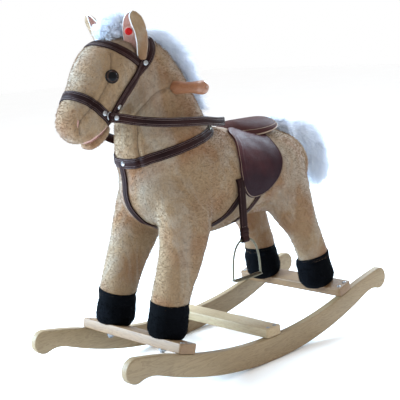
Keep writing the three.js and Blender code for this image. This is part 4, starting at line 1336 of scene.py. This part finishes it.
def drawn_back(v):
    """The forelock kept behind the browband."""
    out = v.copy()
    ahead = np.maximum(v[:, 0] - 0.187, 0)
    out[:, 0] = np.minimum(v[:, 0], 0.187) + ahead * 0.66
    out[:, 1] *= 1 + 3.0 * ahead
    out[:, 2] += 0.10 * ahead
    return out


def onto_rump(v):
    """A tuft like the tail's root, lying along the top of the rump."""
    low, high = v.min(0), v.max(0)
    part = (v - low) / (high - low)
    return np.stack([-0.222 + 0.062 * part[:, 0], (part[:, 1] - 0.5) * 0.052, 0.404 + 0.034 * part[:, 2]], 1)


def rump_flow(p, n):
    out = np.stack([np.full(len(p), -0.5), n[:, 1] * 0.6, np.full(len(p), 0.1)], 1)
    return unit(out + n * 0.5)


mane_core = fur("mane", "horse", 12000, 0.032, mane_flow)
fore_core = fur("forelock", "horse", 8000, 0.016, forelock_flow, shrink=0.006, stand=0.8, shape=drawn_back)
fur("tail", "tail", 12000, 0.031, tail_flow, shrink=0.006)
fur("tail", "horse", 3600, 0.020, rump_flow, shrink=0.004, shape=onto_rump, name="rump_tuft")

# ---- plush pile --------------------------------------------------------------------------------------

over_skin = [o for o in bpy.data.objects if o.name.startswith(("saddle_flap", "glass_eye"))]
cover = tree_of(straps, seat, mane_core, fore_core, *over_skin)
seam_tree = KDTree(len(seam_points))
for i, p in enumerate(seam_points):
    seam_tree.insert(p, i)
seam_tree.balance()


def pile(name, source, body, count, material, slot, length=0.0036, base=0.00034, mask=None, covers=True):
    """Short closed hairs of plush, brushed down and back, where nothing lies on top of the skin."""
    p, n = sampled(source.data, count)
    if mask is not None:
        keep = mask(p, n)
        p, n = p[keep], n[keep]
    if covers:
        keep = np.array([
            cover.ray_cast(Vector(a - b * 0.0004), Vector(b), 0.0075)[0] is None and seam_tree.find(a)[2] > 0.0016
            for a, b in zip(p, n)
        ])
        p, n = p[keep], n[keep]
    m = len(p)
    nap = np.array([-0.35, 0, -0.9]) + rng.normal(size=(m, 3)) * 0.35
    nap -= n * (nap * n).sum(1)[:, None]
    aim = unit(n * 0.75 + unit(nap) * 0.55 + rng.normal(size=(m, 3)) * 0.16)
    side = unit(np.cross(aim, rng.normal(size=(m, 3))))
    other = np.cross(aim, side)
    size = length * rng.uniform(0.6, 1.2, m)[:, None]
    foot = p - n * 0.0004
    verts = np.stack(
        [foot + base * (math.cos(a) * side + math.sin(a) * other) for a in (0, 2.094, 4.189)] + [foot + aim * size], 1
    )
    faces = np.array([(2, 1, 0), (0, 1, 3), (1, 2, 3), (2, 0, 3)])
    faces = (faces[None] + (np.arange(m) * 4)[:, None, None]).reshape(-1, 3)
    return place(build(name, verts.reshape(-1, 3), faces, material, smooth=False), body, slot)


eye_spots = [middle_of("eye_" + side) for side in ("left", "right")]


def open_skin(p, n):
    """Where pile may stand: not in the mouth and not at the edge of an eye."""
    low = (p[:, 2] - 0.479) + (p[:, 0] - 0.273) * 0.58
    mouth = (np.abs(low) < 0.007) & (p[:, 0] > 0.255) & (p[:, 0] < 0.325) & (np.abs(n[:, 2]) > 0.3)
    eye = np.min([np.linalg.norm(p - spot, axis=1) for spot in eye_spots], 0) < 0.0145
    return ~(mouth | eye)


PILE_PIECES = 3
for k in range(PILE_PIECES):
    pile("plush_pile_%d" % k, skin, "horse", 42000, PLUSH, "plush", mask=open_skin)
pile("jaw_pile", jaw, "lower_jaw", 1100, PLUSH, "plush", 0.0024, covers=False)
for ear in ears:
    pile(ear.name + "_pile", ear, "horse", 2600, PLUSH, "plush", 0.0032, covers=False)


def off_the_sole(p, n):
    return n[:, 2] > -0.5


for hoof in hooves:
    pile(hoof.name + "_pile", hoof, "horse", 3500, BLACK, "hoof_plush", 0.0030, mask=off_the_sole, covers=False)

# The panels are sewn together with a fine thread.
seam_items = []
for found in seam_paths:
    near = [skin_tree.find_nearest(Vector(p)) for p in found]
    spots = np.array([np.array(h[0]) for h in near])
    lean = np.array([np.array(h[1]) for h in near])
    even = resampled(np.hstack([evened(spots, 2), lean]), 0.0038)
    along = unit(np.gradient(even[:, :3], axis=0))
    out = unit(even[:, 3:])
    seam_items.append(stitches(even[:, :3] + out * 0.0002, along, out, 0.0032, 0.0008, 0.0005))
place(build("seam_thread", *merged(seam_items), TAN), "horse", "plush")

# ---- wood: rockers, slats, handle ----------------------------------------------------------------

R_BASE, R_TOP, FLAT, MIDDLE = 0.750, 0.844, 0.036, 0.0466
BULB = (0.341, 0.0815, 0.0225)


def rocker_outline():
    """The rocker's side view, as in CAD but finer: half of it, then its mirror image."""
    down = -math.pi / 2
    base_end, top_end = down + math.radians(22), down + math.radians(17.6)
    base_y = math.sqrt(R_BASE**2 - (FLAT / 2) ** 2)

    def arc(cx, cz, r, a, b, n):
        return [(cx + r * math.cos(t), cz + r * math.sin(t)) for t in np.linspace(a, b, n)]

    def bezier(p, q, r, s, n):
        t = np.linspace(0, 1, n)[:, None]
        p, q, r, s = map(np.array, (p, q, r, s))
        return [tuple(v) for v in p * (1 - t) ** 3 + 3 * q * t * (1 - t) ** 2 + 3 * r * t * t * (1 - t) + s * t**3]

    bx, bz, br = BULB
    out = arc(0, base_y, R_BASE, down + math.asin(FLAT / 2 / R_BASE), base_end, 60)
    leave = out[-1]
    a, b, k = math.radians(250), math.radians(100) + 2 * math.pi, 0.020
    first = (bx + math.cos(a) * br, bz + math.sin(a) * br)
    out += bezier(
        leave,
        (leave[0] - math.sin(base_end) * k, leave[1] + math.cos(base_end) * k),
        (first[0] + math.sin(a) * k, first[1] - math.cos(a) * k),
        first,
        14,
    )[1:]
    out += arc(bx, bz, br, a, b, 40)[1:]
    last = out[-1]
    meet = (math.cos(top_end) * R_TOP, MIDDLE + R_TOP + math.sin(top_end) * R_TOP)
    out += bezier(
        last,
        (last[0] - math.sin(b) * k, last[1] + math.cos(b) * k),
        (meet[0] - math.sin(top_end) * k, meet[1] + math.cos(top_end) * k),
        meet,
        14,
    )[1:]
    out += arc(0, MIDDLE + R_TOP, R_TOP, top_end, down, 60)[1:]
    out = np.array(out)
    other = out[(out[:, 0] > 1e-5)][::-1] * np.array([-1, 1])
    return np.vstack([out, other])


def rounded_slab(outline, low_y, high_y, radius=0.0028, steps=4):
    """A flat board with its edges rounded over: outline in (x, z), thickness along Y."""
    step = np.roll(outline, -1, 0) - np.roll(outline, 1, 0)
    inward = unit(np.stack([-step[:, 1], step[:, 0]], 1))
    rings = []
    for side, y in ((-1, low_y), (1, high_y)):
        turns = np.linspace(0, math.pi / 2, steps + 1)
        for t in turns if side < 0 else turns[::-1]:
            flat = outline + inward * radius * (1 - math.sin(t))
            height = y - side * radius * (1 - math.cos(t))
            rings.append(np.stack([flat[:, 0], np.full(len(flat), height), flat[:, 1]], 1))
    return np.array(rings)


outline = rocker_outline()
for name in ("rocker_left", "rocker_right"):
    low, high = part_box(name)
    rings = rounded_slab(outline, low.y, high.y)
    count, k = len(rings), len(outline)
    verts, faces = swept(rings, caps=False)
    caps = [np.array([list(range(k))[::-1]]), np.array([[(count - 1) * k + j for j in range(k)]])]
    board = build(name + "_board", verts, [faces[0][:, ::-1], *(c[:, ::-1] for c in caps)], PALE_WOOD)
    place(board, "horse", "pale_wood", name)

SLAT_W, SLAT_T, SLAT_L = 0.040, 0.018, 0.280


def slat_frame(station):
    angle = math.asin(station / R_TOP)
    seat = math.sqrt(R_TOP**2 - (SLAT_W / 2) ** 2) - 0.00045
    centre = MIDDLE + R_TOP
    spot = Vector((math.sin(angle) * seat, 0, centre - math.cos(angle) * seat))
    return Matrix.Translation(spot) @ Matrix.Rotation(-angle, 4, "Y")


STATIONS = {"front": 0.225, "middle": 0.0, "rear": -0.225}
for row, station in STATIONS.items():
    corner = 0.005
    plan = []
    for cx, cy, a in ((1, 1, 0), (-1, 1, 90), (-1, -1, 180), (1, -1, 270)):
        for t in np.radians(np.linspace(a, a + 90, 6)):
            x = cx * (SLAT_W / 2 - corner) + corner * math.cos(t)
            plan.append((x, cy * (SLAT_L / 2 - corner) + corner * math.sin(t)))
    plan = np.array(plan)
    rings = rounded_slab(plan, 0, SLAT_T, 0.0018)
    rings = np.stack([rings[..., 0], rings[..., 2], rings[..., 1]], -1)
    k = len(plan)
    verts, faces = swept(rings, caps=False)
    caps = [np.array([list(range(k))[::-1]]), np.array([[(len(rings) - 1) * k + j for j in range(k)]])]
    board = build("slat_" + row + "_board", verts, [faces[0], *caps], SLAT_WOOD if row == "middle" else PINE)
    board.data.transform(slat_frame(station))
    place(board, "horse", "pale_wood" if row == "middle" else "pine", "slat_" + row)

handle_profile = [
    (0.0, -133), (5.0, -132.6), (8.6, -131.2), (11.0, -128.6), (12.2, -124.5), (12.4, -120), (11.8, -114),
    (11.0, -107), (10.3, -98), (10.0, -92), (10.2, -84), (10.8, -74), (11.9, -62), (12.5, -56), (12.5, -52),
    (12.2, -46), (9.0, -40), (9.0, 0),
]
half = [(r * MM, h * MM) for r, h in handle_profile]
full = half + [(r, -h) for r, h in half[:-1][::-1]]
handle = build("handle_turned", *lathe(full, HANDLE_AT, (0, 1, 0), 40), TURNED)
place(handle, "horse", "turned_wood", "handle")

# ---- steel: screws, nuts, rods ------------------------------------------------------------------

screw_items = []
for row, station in STATIONS.items():
    to_row = np.array(slat_frame(station))
    for sign in (1, -1):
        for shift in (0.009, -0.009):
            turn = rng.uniform(0, math.pi)
            angle = np.linspace(0, 2 * np.pi, 48, endpoint=False)
            rings = []
            for r, h in [
                (0.0022, -0.012), (0.0024, -0.003), (0.0038, -0.0006), (0.0041, 0.0), (0.0040, 0.0005),
                (0.0034, 0.0009), (0.0026, 0.0011), (0.0020, 0.0012), (0.0013, 0.0012), (0.0007, 0.0012),
            ]:
                x, y = r * np.cos(angle), r * np.sin(angle)
                cx = x * math.cos(turn) + y * math.sin(turn)
                cy = -x * math.sin(turn) + y * math.cos(turn)
                thin, far = np.minimum(np.abs(cx), np.abs(cy)), np.maximum(np.abs(cx), np.abs(cy))
                cut = (thin < 0.00065) & (far < 0.0024)
                z = SLAT_T + h - 0.0011 * (cut & (h > 0.001))
                rings.append(np.stack([x + shift, y + sign * (SLAT_L / 2 - 0.008), z], 1))
            v, f = swept(np.array(rings))
            v = np.c_[v, np.ones(len(v))] @ to_row.T
            screw_items.append((v[:, :3], f))
screws = build("screws", *merged(screw_items), ZINC)
place(screws, "horse", "zinc_steel", *[n for n in NODE if n.startswith("screw_")])

nut_items = []
for row in ("front", "rear"):
    to_row = np.array(slat_frame(STATIONS[row]))
    for sign in (1, -1):
        y = sign * 0.074
        rings = []
        for r, h in [(0.0062, -0.0002), (0.0074, -0.0012), (0.0075, -0.0032), (0.0074, -0.0055), (0.0061, -0.0066)]:
            fine = np.linspace(0, 2 * np.pi, 36, endpoint=False) + 0.3
            wedge = (fine - 0.3) % (np.pi / 3) - np.pi / 6
            reach = np.minimum(r, 0.0065 / np.cos(wedge)) if r > 0.0063 else r
            rings.append(np.stack([reach * np.cos(fine), y + reach * np.sin(fine), np.full(36, h)], 1))
        nut_items.append(swept(np.array(rings)[::-1]))
        turns = np.linspace(0, 1, 90)
        core_rings = []
        for i, t in enumerate(turns):
            r = 0.0039 + 0.00035 * math.cos(2 * math.pi * t * 9)
            fine = np.linspace(0, 2 * np.pi, 20, endpoint=False)
            core_rings.append(np.stack([r * np.cos(fine), y + r * np.sin(fine), np.full(20, -0.0098 * t)], 1))
        nut_items.append(swept(np.array(core_rings)[::-1]))
        for k in range(len(nut_items) - 2, len(nut_items)):
            v, f = nut_items[k]
            v = np.c_[v, np.ones(len(v))] @ to_row.T
            nut_items[k] = (v[:, :3], f)
nuts = build("rod_nuts", *merged(nut_items), ZINC)
place(nuts, "horse", "zinc_steel", *[n for n in NODE if "_leg_nut_" in n])

# The pieces inside the horse keep their CAD meshes.
INSIDE = {"front_leg_arch": ZINC, "rear_leg_arch": ZINC, "spine_beam": PINE, "neck_post": PINE, "sound_box": CASE}
for name, material in INSIDE.items():
    NODE[name].data.materials.clear()
    NODE[name].data.materials.append(material)

# ---- floor ---------------------------------------------------------------------------------------

floor_look = Look("floor", 0.9)
floor_look.set("Base Color", floor_look.ramp(floor_look.noise(3, 2), (0.3, 0.97), (0.7, 0.985)))
FLOOR_HALF, FLOOR_Z = 9, -0.0005
corners = [(x * FLOOR_HALF, y * FLOOR_HALF, FLOOR_Z) for x, y in ((-1, -1), (1, -1), (1, 1), (-1, 1))]
floor = build("floor", corners, np.array([[0, 1, 2, 3]]), floor_look.data)
